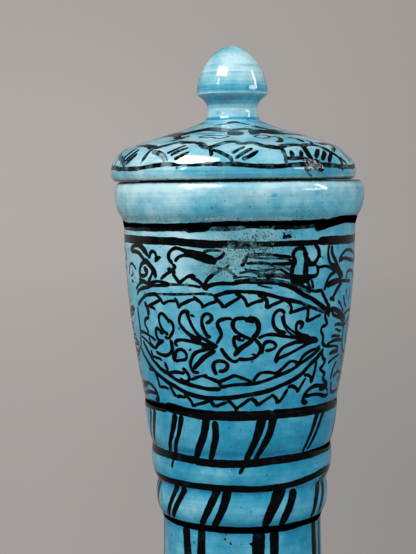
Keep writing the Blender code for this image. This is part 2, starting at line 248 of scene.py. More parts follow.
# Leaves left of the middle flower
LEFT_LEAF_STROKES = (
    (1.7, FULL, ((-20.5, 263), (-25.5, 264.8), (-29, 267.5), (-31.2, 270.5), (-31, 273.5), (-29.5, 275.8),
        (-27.5, 276.6), (-26, 276.2), (-25.8, 274.6))),
    (1.6, FULL, ((-27, 276.5), (-25.8, 273), (-24.5, 269.8), (-22.5, 266.5), (-20.5, 264.4), (-18, 263),
        (-15, 261.3), (-12.3, 260.3))),
    (1.3, FULL, ((-25.2, 274.4), (-24, 274.7), (-22.5, 273.9))),
    (2.0, FULL, ((-26, 263.8), (-23, 263.2), (-19.5, 262.4))),
    (1.7, FULL, ((-14.6, 265), (-16, 264.3), (-17.6, 266.5), (-18.6, 269), (-19, 271.5), (-18.5, 274),
        (-17, 275.5), (-15.5, 275.6), (-14.2, 274.7), (-14, 273.2), (-15, 271.9), (-17.3, 270.8))),
    (1.7, FULL, ((-33.2, 259.2), (-34.6, 259.6), (-34.8, 260.9), (-33, 261.9), (-30, 262.2), (-26, 261.8),
        (-22, 261.2), (-18, 260.3), (-14, 259.6))),
    (1.7, FULL, ((-12.5, 259.5), (-17, 258), (-20.5, 257.2), (-23.5, 256), (-25.7, 253.5), (-26.8, 250.5),
        (-26.6, 248), (-25.2, 246.3), (-22, 246.2))),
    (2.2, FULL, ((-12.5, 257.7), (-16, 255.8), (-19, 253.8), (-21.5, 251.5), (-24, 249.2),
        (-25.6, 247.4))),
    (1.8, FULL, ((-12.4, 245.2), (-13.6, 247), (-14.2, 249), (-13.8, 251), (-12.3, 252.1), (-10, 252.3),
        (-7.8, 251.6), (-6.7, 250), (-7.4, 248.4), (-9, 247.4), (-11.8, 247))),
    (3.0, FULL, ((-20, 258.7), (-15, 259.6), (-11.2, 259.8))),
)

# Flower in the middle of the medallion
MIDDLE_FLOWER_STROKES = (
    (1.7, FULL, ((-12, 260.8), (-10.8, 262.8), (-9.6, 264.8), (-9.6, 266.8), (-10.6, 269), (-11.2, 270.8),
        (-10.3, 272.3), (-8, 273.2), (-5.5, 273.5), (-3.8, 272.9))),
    (1.8, FULL, ((-1, 266), (-2.8, 267.8), (-3.7, 270), (-3.3, 272), (-1.8, 273.3), (1, 273.6),
        (4, 273.2))),
    (2.4, FULL, ((3, 273.3), (6.5, 273), (7.8, 272.3), (8.8, 270), (8.8, 267.5), (7.6, 265.2),
        (6.4, 263.8), (6, 262.2))),
    (1.4, FULL, ((2, 272.3), (4.5, 272), (6.7, 271.2))),
    (1.5, FULL, ((-3.5, 269.5), (-2, 267), (0.5, 265.2), (3, 264), (5.7, 263))),
    (1.6, FULL, ((0.4, 262), (-1, 263.5), (-2.8, 264.3), (-3.3, 262.5), (-2.8, 260), (-1.2, 257.8))),
    (1.4, FULL, ((-2.5, 264), (0, 264.8), (2.2, 264.2))),
    (1.3, FULL, ((0.5, 262), (2.1, 263.5))),
    (2.2, FULL, ((6.5, 263), (3, 260.6), (0.5, 259), (-1.2, 257.5), (-2.6, 255.8), (-3.3, 254.6))),
    (1.7, FULL, ((-10, 259), (-8.5, 256.5), (-6.8, 254.3), (-5, 252.8), (-3, 252), (-1.4, 252.8),
        (-1, 253.5))),
    (1.7, FULL, ((-1.4, 253.4), (1, 253.2), (4, 253.2), (7, 254), (9, 255.6), (10.2, 258), (9.6, 260.3),
        (8, 262.2), (6.8, 263.1))),
    (1.2, FULL, ((5.3, 255.7), (7, 255.4), (8.5, 254.7))),
    (1.6, FULL, ((10.6, 255.5), (11, 257.5), (11.3, 259.5), (12.5, 261.3), (14.5, 261.8), (16.8, 261),
        (18, 259.6), (17, 258.2), (14.5, 257.4), (12.1, 257.3))),
)

# Leaves right of the middle flower
RIGHT_LEAF_STROKES = (
    ((1.6, 3.2), FULL, ((26, 263.6), (33, 262.6), (39, 261.4), (43.4, 260.2))),
    (2.6, FULL, ((33.5, 260), (38, 260.8), (41.5, 259.8))),
    (1.6, FULL, ((8.6, 263.4), (11, 264.5), (14, 265.2), (18, 264.9), (22, 264.1), (27, 263.2),
        (33, 262.5), (39, 261.8), (43.5, 260.5))),
    (1.7, FULL, ((23, 265.7), (20, 266.3), (18, 267.5), (16.3, 270), (16, 273), (16.8, 275.5),
        (18.5, 277), (20, 277.1), (21.5, 276), (22.2, 275.2))),
    (1.1, FULL, ((20.4, 274.5), (20.8, 272), (21.6, 269.8), (23, 267.5), (25, 265.5), (27.7, 263.8))),
    (1.1, FULL, ((21.4, 275.5), (21.8, 272.5), (22.6, 270), (24.5, 267.8), (27.5, 265.8), (31, 264),
        (35.4, 262.8))),
    (2.0, FULL, ((19, 266.8), (23.3, 265.5))),
    (1.6, FULL, ((30.8, 267.3), (31.8, 268.3), (32.3, 270), (30.8, 270.8), (29.2, 270.4), (28.5, 268.7),
        (28.8, 266.5), (30.5, 265), (33.5, 263.8), (37.3, 262.8))),
    (2.2, FULL, ((30, 269.8), (31.8, 269.8))),
    (1.8, FULL, ((42, 260.5), (36, 260.4), (30, 260.8), (26, 260), (22.5, 258.8), (20.3, 257),
        (18.6, 254), (18.3, 251))),
    (2.6, FULL, ((18.7, 254), (18.3, 250.6))),
    (1.6, FULL, ((18.8, 252.8), (22, 253.9), (26, 255.3), (30, 257), (34, 258.6), (38, 259.9),
        (41.5, 260.4))),
)

# Wavy divider at the right of the medallion, and the strokes that lead up from it
DIVIDER_STROKES = (
    (3.2, FULL, ((47.6, 276.8), (49.2, 274.6), (49.8, 272.2))),
    (1.7, FULL, ((49, 279), (48, 276.5), (47, 274), (47.3, 271.5), (48.5, 269.7), (49, 268.6),
        (47.5, 267.6), (45.5, 267.2), (44.8, 266), (45.5, 264), (46.8, 262.5), (47, 260.5), (47, 259),
        (48.5, 257.5), (50.8, 256.9))),
    (1.7, FULL, ((47.5, 254.5), (48, 252.5), (49, 250.8), (50.8, 249.8), (50.3, 248.2), (49, 246.8),
        (47.3, 245.9), (49, 244.6), (51, 243.4), (52.5, 242.5), (51, 241), (52, 239.6), (54, 238.4),
        (56.8, 237.3))),
    (3.2, FULL, ((47.2, 276.8), (49, 277.2), (50.6, 276.6))),
    (1.2, FULL, ((50.8, 272.1), (48.8, 272.5))),
    (1.6, FULL, ((35.5, 286.1), (39, 285.4), (42, 285.6), (44.3, 285))),
    (1.7, FULL, ((43, 285.3), (45, 282.5), (46.5, 280.5), (48.7, 277.8))),
    (1.6, FULL, ((44.5, 285.5), (46, 287.5), (47.2, 289.5))),
    (1.6, FULL, ((46.8, 287.2), (51, 288), (55, 289), (60, 289.3), (66, 288.8), (72, 288.4))),
    (2.0, FULL, ((51, 279.9), (53, 282.5), (54.5, 284.3), (56.5, 286.3), (58.5, 287.7), (60.3, 288.6))),
    (2.0, FULL, ((49.3, 281), (52, 280.8), (53.8, 279.6))),
)

# Left half of the fan of strokes on each side of the bowl; the right half mirrors it
FAN_MIDDLE = 81.0
FAN_STROKES = (
    (1.3, FULL, ((57, 279.4), (59.5, 278), (61.5, 276.3), (63.5, 274.3), (65.3, 273.4))),
    (1.3, FULL, ((62.5, 281.7), (64, 280), (65, 278), (66.5, 276.5), (68.3, 275.4))),
    (1.4, FULL, ((66.8, 285), (66.7, 283), (66.6, 280.6))),
    (1.4, FULL, ((72.5, 285.5), (72.3, 282), (72.6, 278))),
    (2.6, FULL, ((50, 275.3), (54, 275.3), (57, 274.5), (60, 273.2), (63, 271.6), (66, 270.2),
        (69, 268.2))),
    (1.6, FULL, ((52, 273.7), (55, 272.2), (58, 271.3), (62, 270), (66, 267.5), (70.3, 265.9))),
    (1.5, FULL, ((66, 271), (68.5, 272.5), (72, 273), (77, 273.2), (81, 273.2))),
    (1.4, FULL, ((56, 267), (59, 267.3), (62, 267), (65, 266.3), (69.3, 264.7))),
    (1.3, FULL, ((57, 265), (59.5, 264.6), (62, 263.6), (65.3, 263.5))),
    (1.4, FULL, ((54, 261.2), (57, 261.6), (60, 261.2), (64.4, 260.6))),
    (1.6, FULL, ((50.5, 257.5), (54, 258.6), (58, 259.2), (62, 259), (68.5, 258.4))),
    (1.4, FULL, ((50.5, 256.6), (55, 256.5), (60, 256), (64.3, 254.9))),
    (2.0, FULL, ((54, 252.4), (57, 253.2), (61, 253.4), (64.4, 253.4))),
    (1.4, FULL, ((54, 247.8), (57, 249), (60, 250), (63, 250.5), (66.4, 251.3))),
    (1.6, FULL, ((70, 266), (73, 268), (77, 269), (81, 269.2))),
    (1.6, FULL, ((68.5, 265), (67.6, 261), (68.6, 257), (71, 253.5), (75, 251.5), (81, 250.8))),
    (1.8, FULL, ((76, 263.5), (74.4, 260.5), (75.4, 257.5), (78, 255.8), (81, 255.5))),
    (1.6, FULL, ((76, 263.5), (78, 265), (81, 265.4))),
    (1.4, FULL, ((70.5, 250.5), (72.5, 247.5), (74, 244.5))),
    (1.4, FULL, ((77, 249), (77.5, 246), (78, 243))),
    (1.8, FULL, ((59.5, 238.8), (60, 241), (60.5, 243.5), (62, 246), (64.3, 247.7))),
    (1.7, FULL, ((60.5, 237.5), (61.5, 236), (62.3, 233.6), (63, 232.2), (66, 231.6), (72, 231.5),
        (77, 232.4), (79.5, 234.8), (78.5, 237.4), (75, 238.2), (72, 237), (71.5, 235.2))),
    (1.7, FULL, ((62, 239.5), (66, 241.4), (70, 242), (74, 240.6), (78, 240.2), (81, 240.4))),
    (1.9, FULL, ((37, 231), (37.2, 232.8), (38.5, 234.4), (40.5, 235.8), (43, 236.8), (46, 237.2),
        (50, 236.8), (54, 236.6), (57.3, 236.8))),
    (3.0, FULL, ((48.7, 235.2), (53, 235.6), (57.3, 236))),
    (1.4, FULL, ((56, 235.3), (58.7, 232.6))),
    (1.8, FULL, ((38, 232.3), (42, 232.7), (46, 232.7), (50, 232.2), (53, 231.4), (56, 230.7),
        (59.8, 231.6))),
    (2.6, FULL, ((37, 232), (37.3, 230), (39, 229.2), (40.8, 229.6))),
)

# Scrolls and flowers between the medallion and the lines under the collar
SCROLL_STROKES = (
    (2.1, FULL, ((-67, 305), (-64.5, 306.8), (-61, 308), (-57, 308.2), (-54, 306.8), (-51, 304.8),
        (-49, 303))),
    (2.0, FULL, ((-66, 304.6), (-62, 305), (-58, 304.6), (-55, 303), (-52.5, 301), (-49.8, 299.5))),
    (2.8, FULL, ((-58.3, 309), (-54.5, 307.5), (-52, 305.8), (-49.8, 304.3))),
    (1.7, FULL, ((-49.8, 302.8), (-48, 302.9), (-47.6, 304.5), (-46, 305.6), (-44.3, 305.2),
        (-43.4, 303.6), (-43.4, 301.8), (-44.8, 300.2))),
    ((3.0, 1.6), FULL, ((-44.4, 301), (-42.6, 302.2), (-40, 302.9))),
    (2.7, FULL, ((-52, 301.5), (-50, 300), (-48, 298.3), (-46.3, 296.8), (-45, 295), (-44.3, 292.2))),
    (1.9, FULL, ((-50.2, 299.8), (-53, 299.8), (-55, 298.8), (-56.6, 297), (-57.3, 295), (-57.2, 293),
        (-57.5, 290.8))),
    (1.7, FULL, ((-56.8, 293.3), (-54, 293), (-51.8, 293.8), (-50.5, 295.4), (-51.2, 296.7),
        (-52.8, 297.3), (-53.3, 296))),
    (3.2, FULL, ((-53, 296.8), (-51, 295.2))),
    (1.7, FULL, ((-46.3, 295.8), (-48, 292.8), (-49.5, 291), (-50.5, 289.3), (-51.1, 287))),
    (2.0, FULL, ((-58.8, 290.8), (-55, 290.3), (-51, 289.5))),
    (1.4, FULL, ((-71, 292.6), (-70, 296.5), (-68.5, 298.3), (-66, 298.6), (-63.5, 297.7), (-61, 295.8))),
    (1.3, FULL, ((-68.7, 292.2), (-66.5, 292.7), (-65, 293.7), (-66.2, 295.2))),
    (1.4, FULL, ((-68.3, 290.1), (-65.2, 289.2))),
    (1.8, FULL, ((-33, 299.8), (-35.2, 302), (-35.4, 304.2), (-34, 306.3), (-31.5, 307.5), (-29, 307.2),
        (-26.5, 306.3), (-22.5, 305.4))),
    (1.6, FULL, ((-32, 300.8), (-30, 303), (-27.5, 304), (-25, 303.9), (-22, 303.4), (-18, 302),
        (-15, 301), (-12, 300.4))),
    (3.4, FULL, ((-27, 305.6), (-22, 305), (-18, 304), (-15, 302.8), (-12.5, 301.6), (-11.7, 299.6))),
    (1.5, FULL, ((-14, 303.3), (-11.5, 302.3), (-9, 303.2), (-7.8, 304.3), (-7.1, 306))),
    (1.2, WORN, ((-17.6, 304.7), (-16.3, 306), (-13.6, 306.6), (-10.6, 306.6), (-8, 306.2))),
    (2.0, FULL, ((-33.5, 297), (-32, 298.3), (-33.7, 299.7))),
    (2.4, FULL, ((-36.7, 297.3), (-33, 296), (-31.6, 295.3))),
    (1.5, FULL, ((-41.3, 291.8), (-38.5, 293.8), (-36, 295.3), (-33.7, 296.1))),
    (1.7, FULL, ((-33.6, 295.2), (-31.5, 292.5), (-29.7, 290.2))),
    (1.7, FULL, ((-30.2, 290.3), (-28.5, 291.5), (-26.5, 293), (-24.5, 294), (-22.5, 294.3),
        (-21, 293.4))),
    (1.7, FULL, ((-24, 293.4), (-21, 292.3), (-19, 291), (-17.8, 289.6), (-17, 288.4), (-15.2, 287.4))),
    (1.6, FULL, ((-16.6, 289.2), (-16, 291.5), (-14.5, 293.3), (-12, 295.3))),
    (1.3, DULL, ((-13, 294.7), (-10, 296.3), (-8, 297.2), (-6.5, 297.5), (-5, 296.5), (-3.5, 295.5),
        (-2, 294.3))),
    (1.1, DULL, ((2, 297.6), (7, 296.6), (13, 296.9), (20, 298))),
    (1.2, DULL, ((8, 293.7), (14, 294.3), (20, 294.4), (26, 292.6))),
    (1.0, WORN, ((11, 295.6), (13, 293.4), (16, 294.8), (19, 293.6))),
    (1.0, DULL, ((-3, 293), (2, 293.8), (8, 292.9))),
    (1.1, DULL, ((14, 299), (20, 298.2), (25, 296.2))),
    (1.0, DULL, ((4, 303.4), (10, 302.6), (17, 302.4), (24, 301.8))),
    (1.6, FULL, ((-1.4, 294.5), (-3.2, 292.7))),
    (1.3, DULL, ((-10.7, 298), (-8, 297.6), (-6.3, 298.2), (-4.8, 299.7))),
    (2.0, FULL, ((0.4, 298.7), (1.4, 299.7), (2.4, 300.6))),
    (1.5, DULL, ((1.4, 300), (2.4, 301.8), (3.6, 303.6), (6, 304.6))),
    (1.5, DULL, ((5, 304.4), (10, 304.5), (14, 304.2), (17, 303.9))),
    (1.6, FULL, ((16, 304), (18, 303.8), (21, 303.3), (24.8, 302.7))),
    (1.3, DULL, ((2.6, 300.2), (8, 300.4), (12, 300.2), (15, 299.4))),
    (1.8, FULL, ((14.5, 299.5), (18, 299.4), (21, 299.6), (24, 299.8), (24.8, 300.8), (23, 301.4))),
    (1.4, FULL, ((15.8, 297.3), (18.5, 297.3), (20.5, 296.3), (22.5, 295), (24.8, 293.6))),
    (1.2, DULL, ((-0.5, 295.3), (3, 296.2), (6, 296.2), (9, 295), (11.5, 294.2), (13, 294), (15, 295.5),
        (17.3, 297))),
    (1.5, DULL, ((11.6, 293.6), (17, 294), (20, 293.5), (25.4, 292.2))),
    (1.3, WORN, ((3.4, 296.5), (6.4, 296.6))),
    (1.7, WORN, ((11.2, 294.6), (12.8, 293.7))),
    (2.0, FULL, ((25.8, 290.3), (25, 292.5), (25, 295.5), (25.4, 298), (26.4, 299.6), (26.3, 301.5),
        (25.6, 303.5), (26.2, 305.5), (28, 306.8), (31, 306.8), (32.7, 305.9))),
    (2.0, FULL, ((32, 306.7), (32, 304), (32.6, 301.5), (32.3, 298.5), (31.9, 296), (31.4, 293.9))),
    (2.0, FULL, ((33.2, 305.2), (32.8, 303), (34, 301), (35.5, 299.5), (37.5, 299.4), (39, 300.8),
        (40.3, 303), (40.2, 305.5), (39, 307.3), (37.3, 308.2))),
    (2.0, FULL, ((32.3, 299.3), (34, 298.8), (36, 298.6), (38, 298.8), (39.2, 298.2))),
    (1.8, FULL, ((33, 298.2), (33.3, 296), (33, 294), (35, 293), (38, 293), (39.7, 294), (40, 296),
        (38.8, 298.2))),
    (3.6, FULL, ((24.6, 293.2), (27, 292.3), (30, 292), (33, 292.3), (36.4, 292.6))),
    (1.7, FULL, ((25.8, 290), (29, 289.6), (31, 289.8), (32.5, 291), (34, 289.8), (35, 288),
        (36.3, 285.8))),
    (1.6, FULL, ((36, 291.7), (37, 289), (37.6, 286.6))),
    (1.6, FULL, ((29.3, 289.4), (32, 288), (34.5, 286.7), (36.8, 285.3))),
    (1.4, FULL, ((40, 306.7), (40.8, 304), (41, 302.6), (42.2, 302.3))),
    (1.5, FULL, ((38.8, 297.7), (41, 297.2), (43.5, 297.5), (46, 297.4), (48.5, 296.6), (51, 295.5),
        (53.3, 294.3))),
    (1.7, FULL, ((47.6, 308.3), (46.8, 305.5), (46.8, 303), (47.5, 300.5), (49, 298.3), (51.3, 296.6))),
    (1.9, FULL, ((49.5, 307.8), (49.5, 305), (50.3, 302.8), (51.8, 301), (54, 298.5), (56, 296),
        (58, 294), (60.8, 291.2))),
    (3.0, FULL, ((49.7, 298.3), (53, 296), (56, 293.8), (59.4, 290.7))),
    (1.8, FULL, ((45.3, 286.6), (46.5, 289.6), (48, 291.8), (50, 293.3), (53.3, 294.1))),
    (1.7, FULL, ((46.7, 288.4), (50, 289.5), (54, 290), (58, 289.8), (60.4, 288.8))),
    (1.5, FULL, ((56.3, 298.4), (56.5, 300.5), (58.5, 302.3), (61, 303.8), (64, 304.6), (68, 304.5),
        (73, 303.4), (79, 301.4), (84, 299))),
    (1.8, FULL, ((56.7, 299.6), (60, 300.5), (64, 300.3), (68, 299.6), (74, 298.8), (80, 298.4),
        (84.4, 298.8))),
    (1.5, FULL, ((65.5, 289.7), (65.5, 292), (66.5, 293.6), (70.4, 293.9))),
    (1.5, FULL, ((70, 294), (74, 293.4), (78, 291), (82, 290.2), (86, 291.4), (88.5, 294))),
    (1.7, FULL, ((84, 299), (88, 301), (92, 303.8), (96, 305.6), (100, 305.8), (103, 304.4), (104, 302.2),
        (102.6, 300.4), (100, 300.2))),
    (1.6, FULL, ((90.5, 302), (93, 299.4), (97, 297.4), (101, 296.2), (104.5, 295.6))),
)

# Lines round the vase, each as half of a turn
RING_LINE_STROKES = (
    (4.5, FULL, ((-26.4, 317.3), (-22, 317.6), (-17, 317.9), (-12.6, 318.3))),
    (2.6, FULL, ((-16, 318.9), (-8, 319.2), (0, 319.3), (14, 319.2), (26, 319.1), (38, 319.3),
        (45, 319.8))),
    (2.0, DULL, ((-14, 317), (-8, 317), (-2, 317.2), (3, 317.4))),
    (1.5, WORN, ((-6, 317.8), (6, 317.8), (18, 317.6))),
    (2.0, WORN, ((15, 317.5), (24, 317.3), (37.6, 317.6))),
    (1.6, FULL, ((20, 312.2), (21.6, 312.6), (23, 313), (25, 312.4))),
    (1.0, WORN, ((20.8, 312.6), (21.2, 315))),
    ((4.4, 3.5), FULL, ((37.2, 317.2), (40, 317.4), (44, 318.1), (50, 319.2), (55, 319.9), (61, 320.3),
        (70, 320.1), (86, 319.2), (106, 317.6), (130, 317.4), (146, 317.6), (158, 318))),
    (3.6, FULL, ((-31, 310.7), (-24, 310.2), (-16, 309.6), (-9, 309.5))),
    (3.6, WORN, ((-12, 309.6), (-8, 309.5), (-5, 309.4))),
    (2.4, FAINT, ((-6.5, 309.9), (0, 309.8), (6, 309.8), (9, 309.8))),
    (1.2, FAINT, ((-6, 308), (1, 307.9), (9, 308.1))),
    (2.4, DULL, ((8, 309.5), (11, 309.4), (16, 309.4))),
    (2.0, WORN, ((-8.4, 310.6), (-4.6, 310.2), (-1, 310.6))),
    (1.1, WORN, ((1, 308.8), (3.4, 309.2), (5.6, 308.4))),
    (2.5, FULL, ((13, 309.3), (22, 309.4), (30, 309.4), (41, 309.5))),
    ((4.0, 3.6), FULL, ((39.6, 310), (46, 310.1), (54, 310), (62, 309.9), (74, 309.9), (90, 310.4),
        (106, 311), (128, 311), (152, 310.8))),
    (4.5, FULL, ((-49, 226.8), (-44, 226.6), (-38, 226), (-30, 225.2), (-20, 224.6), (0, 224.5),
        (20, 224.6))),
    (4.4, FULL, ((17, 224.9), (30, 224.8), (50, 224.7), (80, 224.9), (104, 225.6), (118, 226),
        (134, 226))),
    (3.6, FULL, ((-30, 200.3), (-20, 200), (0, 200), (20, 201), (40, 201.4), (60, 202), (80, 202),
        (108, 201.5), (136, 201.2), (153, 200.6))),
    (3.7, FULL, ((-118, 186), (-100, 186.8), (-72, 187.5), (-40, 187.4), (-8, 187.2), (8, 186.7),
        (24, 187), (36, 187.9), (50, 189.4), (60, 190.4), (72, 190.6), (92, 189.4))),
    (3.7, FULL, ((-110, 165.5), (-72, 165.8), (-44, 165.5), (-20, 165.4), (10, 165.1), (30, 165),
        (50, 165.5), (74, 165.1))),
    (3.8, FULL, ((-40, 62.4), (0, 62), (50, 62.5), (100, 62.2), (146, 62.4))),
    (3.4, FULL, ((10, 26.4), (60, 26), (110, 26.5), (150, 26.2), (194, 26.4))),
    (3.0, FULL, ((-60, 6.2), (-10, 6), (40, 6.3), (90, 6.1), (124, 6.2))),
)

# Specks of paint left where bands and scrolls are worn, and a few on the collar: angle, height and width
SPECK_LENGTH = 0.7
SPECK_RISE = 0.12
WORN_SPECKS = (
    (-9.4, 311, 0.9), (-8, 309.9, 1.1), (-7.2, 310.7, 1.2), (-6.8, 308.8, 1.0), (-5.2, 310.2, 0.8),
    (-4.4, 308.4, 0.7), (-3.2, 309.6, 1.0), (-2.2, 310.6, 0.9), (-1.6, 308.9, 0.8), (-0.4, 310, 0.9),
    (0.8, 308.4, 0.8), (1.6, 309.8, 1.1), (2.6, 310.6, 0.8), (3.4, 309, 1.0), (4.6, 310.1, 1.0),
    (5.4, 308.2, 0.8), (6.2, 309.5, 0.8), (7.2, 310.6, 1.0), (8.2, 309.1, 0.9), (9.2, 310.2, 1.1),
    (10, 308.2, 0.8), (10.8, 309.6, 1.0), (12.2, 308.8, 0.9), (13.4, 310.3, 0.8), (5.8, 313, 0.6),
    (6.8, 313.9, 0.7), (7.6, 315.6, 0.5), (10.4, 312.4, 0.9), (10.9, 313.3, 0.9), (11.8, 312.8, 1.0),
    (11.2, 311.7, 0.7), (3, 314.6, 0.5), (-2.4, 313.4, 0.5), (13, 315.2, 0.5), (10.6, 306.6, 0.8),
    (12, 307, 0.7), (-0.6, 303.8, 0.6), (1, 301.6, 0.6), (-3.4, 302, 0.5), (4.8, 302.6, 0.5),
    (7.4, 304.8, 0.6), (-6, 300.6, 0.6), (-9.6, 303.4, 0.6), (2.4, 306, 0.5), (-5, 306.4, 0.5),
    (21.4, 316, 0.7), (23.6, 315.2, 0.6), (20.2, 314.6, 0.6), (26, 312.4, 0.7), (-12.2, 327.1, 0.7),
    (-6.4, 330.4, 0.4), (12, 329.4, 0.4), (31.8, 325.2, 0.5), (38.4, 328.8, 0.4), (40.2, 324.8, 0.5),
    (37.8, 331.6, 0.4),
)

# Slanted pairs on the band under the ridge and on the lower ring, for half of a turn
SLANT_STROKES = (
    ((2.4, 1.8), FULL, ((-66.5, 223.5), (-69.5, 217), (-74, 209), (-77, 203))),
    ((3.2, 2.2), FULL, ((-60.5, 224), (-63.5, 217), (-67, 210), (-71, 203))),
    ((3.5, 2.0), FULL, ((-40.4, 224), (-44, 215), (-48, 208), (-51.4, 202))),
    ((2.8, 1.9), FULL, ((-35.8, 223.6), (-39.2, 214), (-42.8, 208), (-46.4, 201))),
    ((4.0, 3.0), FULL, ((-19.6, 224), (-22, 214.5), (-25.8, 207.5), (-29.4, 201))),
    ((3.2, 2.6), FULL, ((-15, 222), (-14.8, 214), (-16.8, 207.5), (-19.4, 201))),
    ((4.6, 2.4), FULL, ((12, 224.6), (9.6, 215.5), (5.6, 207), (2.2, 200.6))),
    (1.8, FULL, ((3, 201.5), (1, 198.5), (-1.4, 194.8))),
    ((4.2, 2.2), FULL, ((18.6, 224.6), (16.4, 215.5), (12, 207.5), (7.8, 201))),
    (1.6, FULL, ((-46, 201), (-47.4, 197.5), (-48.3, 194.8))),
    ((2.9, 1.5), FULL, ((50.2, 224), (46.4, 215), (42.8, 208), (41, 203))),
    ((2.5, 1.5), FULL, ((56.6, 224.4), (52, 216), (47.6, 209), (44.6, 204))),
    ((3.2, 1.8), FULL, ((82.6, 224), (78.3, 214.5), (75, 208), (72.6, 202))),
    ((2.9, 1.7), FULL, ((88.3, 224), (82.5, 214), (79, 208.5), (75.8, 203))),
    ((3.2, 2.3), FULL, ((-46.8, 187), (-51, 179.5), (-56, 173), (-60.4, 167.6))),
    ((3.8, 2.3), FULL, ((-40, 185.6), (-43, 180.5), (-48, 174.5), (-54.2, 168))),
    ((4.0, 2.8), FULL, ((-15, 188), (-19.2, 180), (-24, 172.5), (-28.4, 166.6))),
    ((4.2, 3.0), FULL, ((-8.8, 187.4), (-11.2, 179), (-15, 172), (-19.4, 166.4))),
    ((6.8, 3.6), FULL, ((27, 187.6), (22.2, 180), (17.8, 173), (15, 166.2))),
    ((4.6, 3.8), FULL, ((36.4, 185), (33, 178), (29.6, 172), (26.8, 166.2))),
    ((4.4, 2.8), FULL, ((63.4, 186), (58.2, 178.5), (56, 172), (55.4, 167))),
    ((4.2, 3.0), FULL, ((71, 185.6), (68, 178), (65.6, 172), (64.8, 167))),
    ((4.0, 2.8), FULL, ((101, 187), (97, 179), (93, 172.5), (90, 166.8))),
    ((4.2, 3.0), FULL, ((108.4, 186.6), (105, 178), (101.4, 171.5), (98.6, 166.6))),
)

# Upright pairs that run down the waist and the flare, each with its turn round the axis
STEM_STROKES = (
    (4.7, FULL, ((-43.2, 165), (-42.3, 156), (-41.4, 148), (-41.2, 136), (-41, 110), (-41.4, 88),
        (-42, 66))),
    (4.2, FULL, ((-29.2, 165), (-29.8, 154), (-30.3, 142), (-30.4, 120), (-30.6, 92), (-30.2, 68))),
    (5.8, FULL, ((12, 165), (11.2, 158), (11, 150), (11, 136), (11.2, 110), (10.6, 88), (10.2, 66))),
    (4.5, FULL, ((22.8, 165), (22.7, 154), (22.3, 142), (22.4, 118), (22, 92), (22.3, 67))),
    (1.2, FULL, ((4.8, 158.4), (6.4, 157.9), (8, 157.8))),
    (1.5, WORN, ((-12.8, 160.8), (-11, 160.1))),
    (1.2, WORN, ((-11.8, 163.1), (-10.4, 162.6))),
    (1.2, WORN, ((-8.8, 158.4), (-7.2, 157.9))),
    (4.9, FULL, ((62.2, 165), (62.7, 154), (63, 142), (62.8, 116), (63.2, 90), (62.8, 66))),
    (4.2, FULL, ((73.8, 165), (74, 154), (73.8, 142), (74, 118), (73.6, 92), (74.2, 67))),
)
STEM_REPEAT = STEM_STROKES[2:4]
STEM_TURNS = (102.2, 153.4, 204.6, 255.8)

# Slanted pair on the foot's slope, repeated round it
FOOT_STROKES = (
    (3.4, FULL, ((4, 58.5), (1.5, 51), (-2, 43), (-6, 35.5))),
    (3.0, FULL, ((10.5, 58), (8, 51), (4.5, 43), (0.8, 36))),
)
FOOT_PAIRS = 11

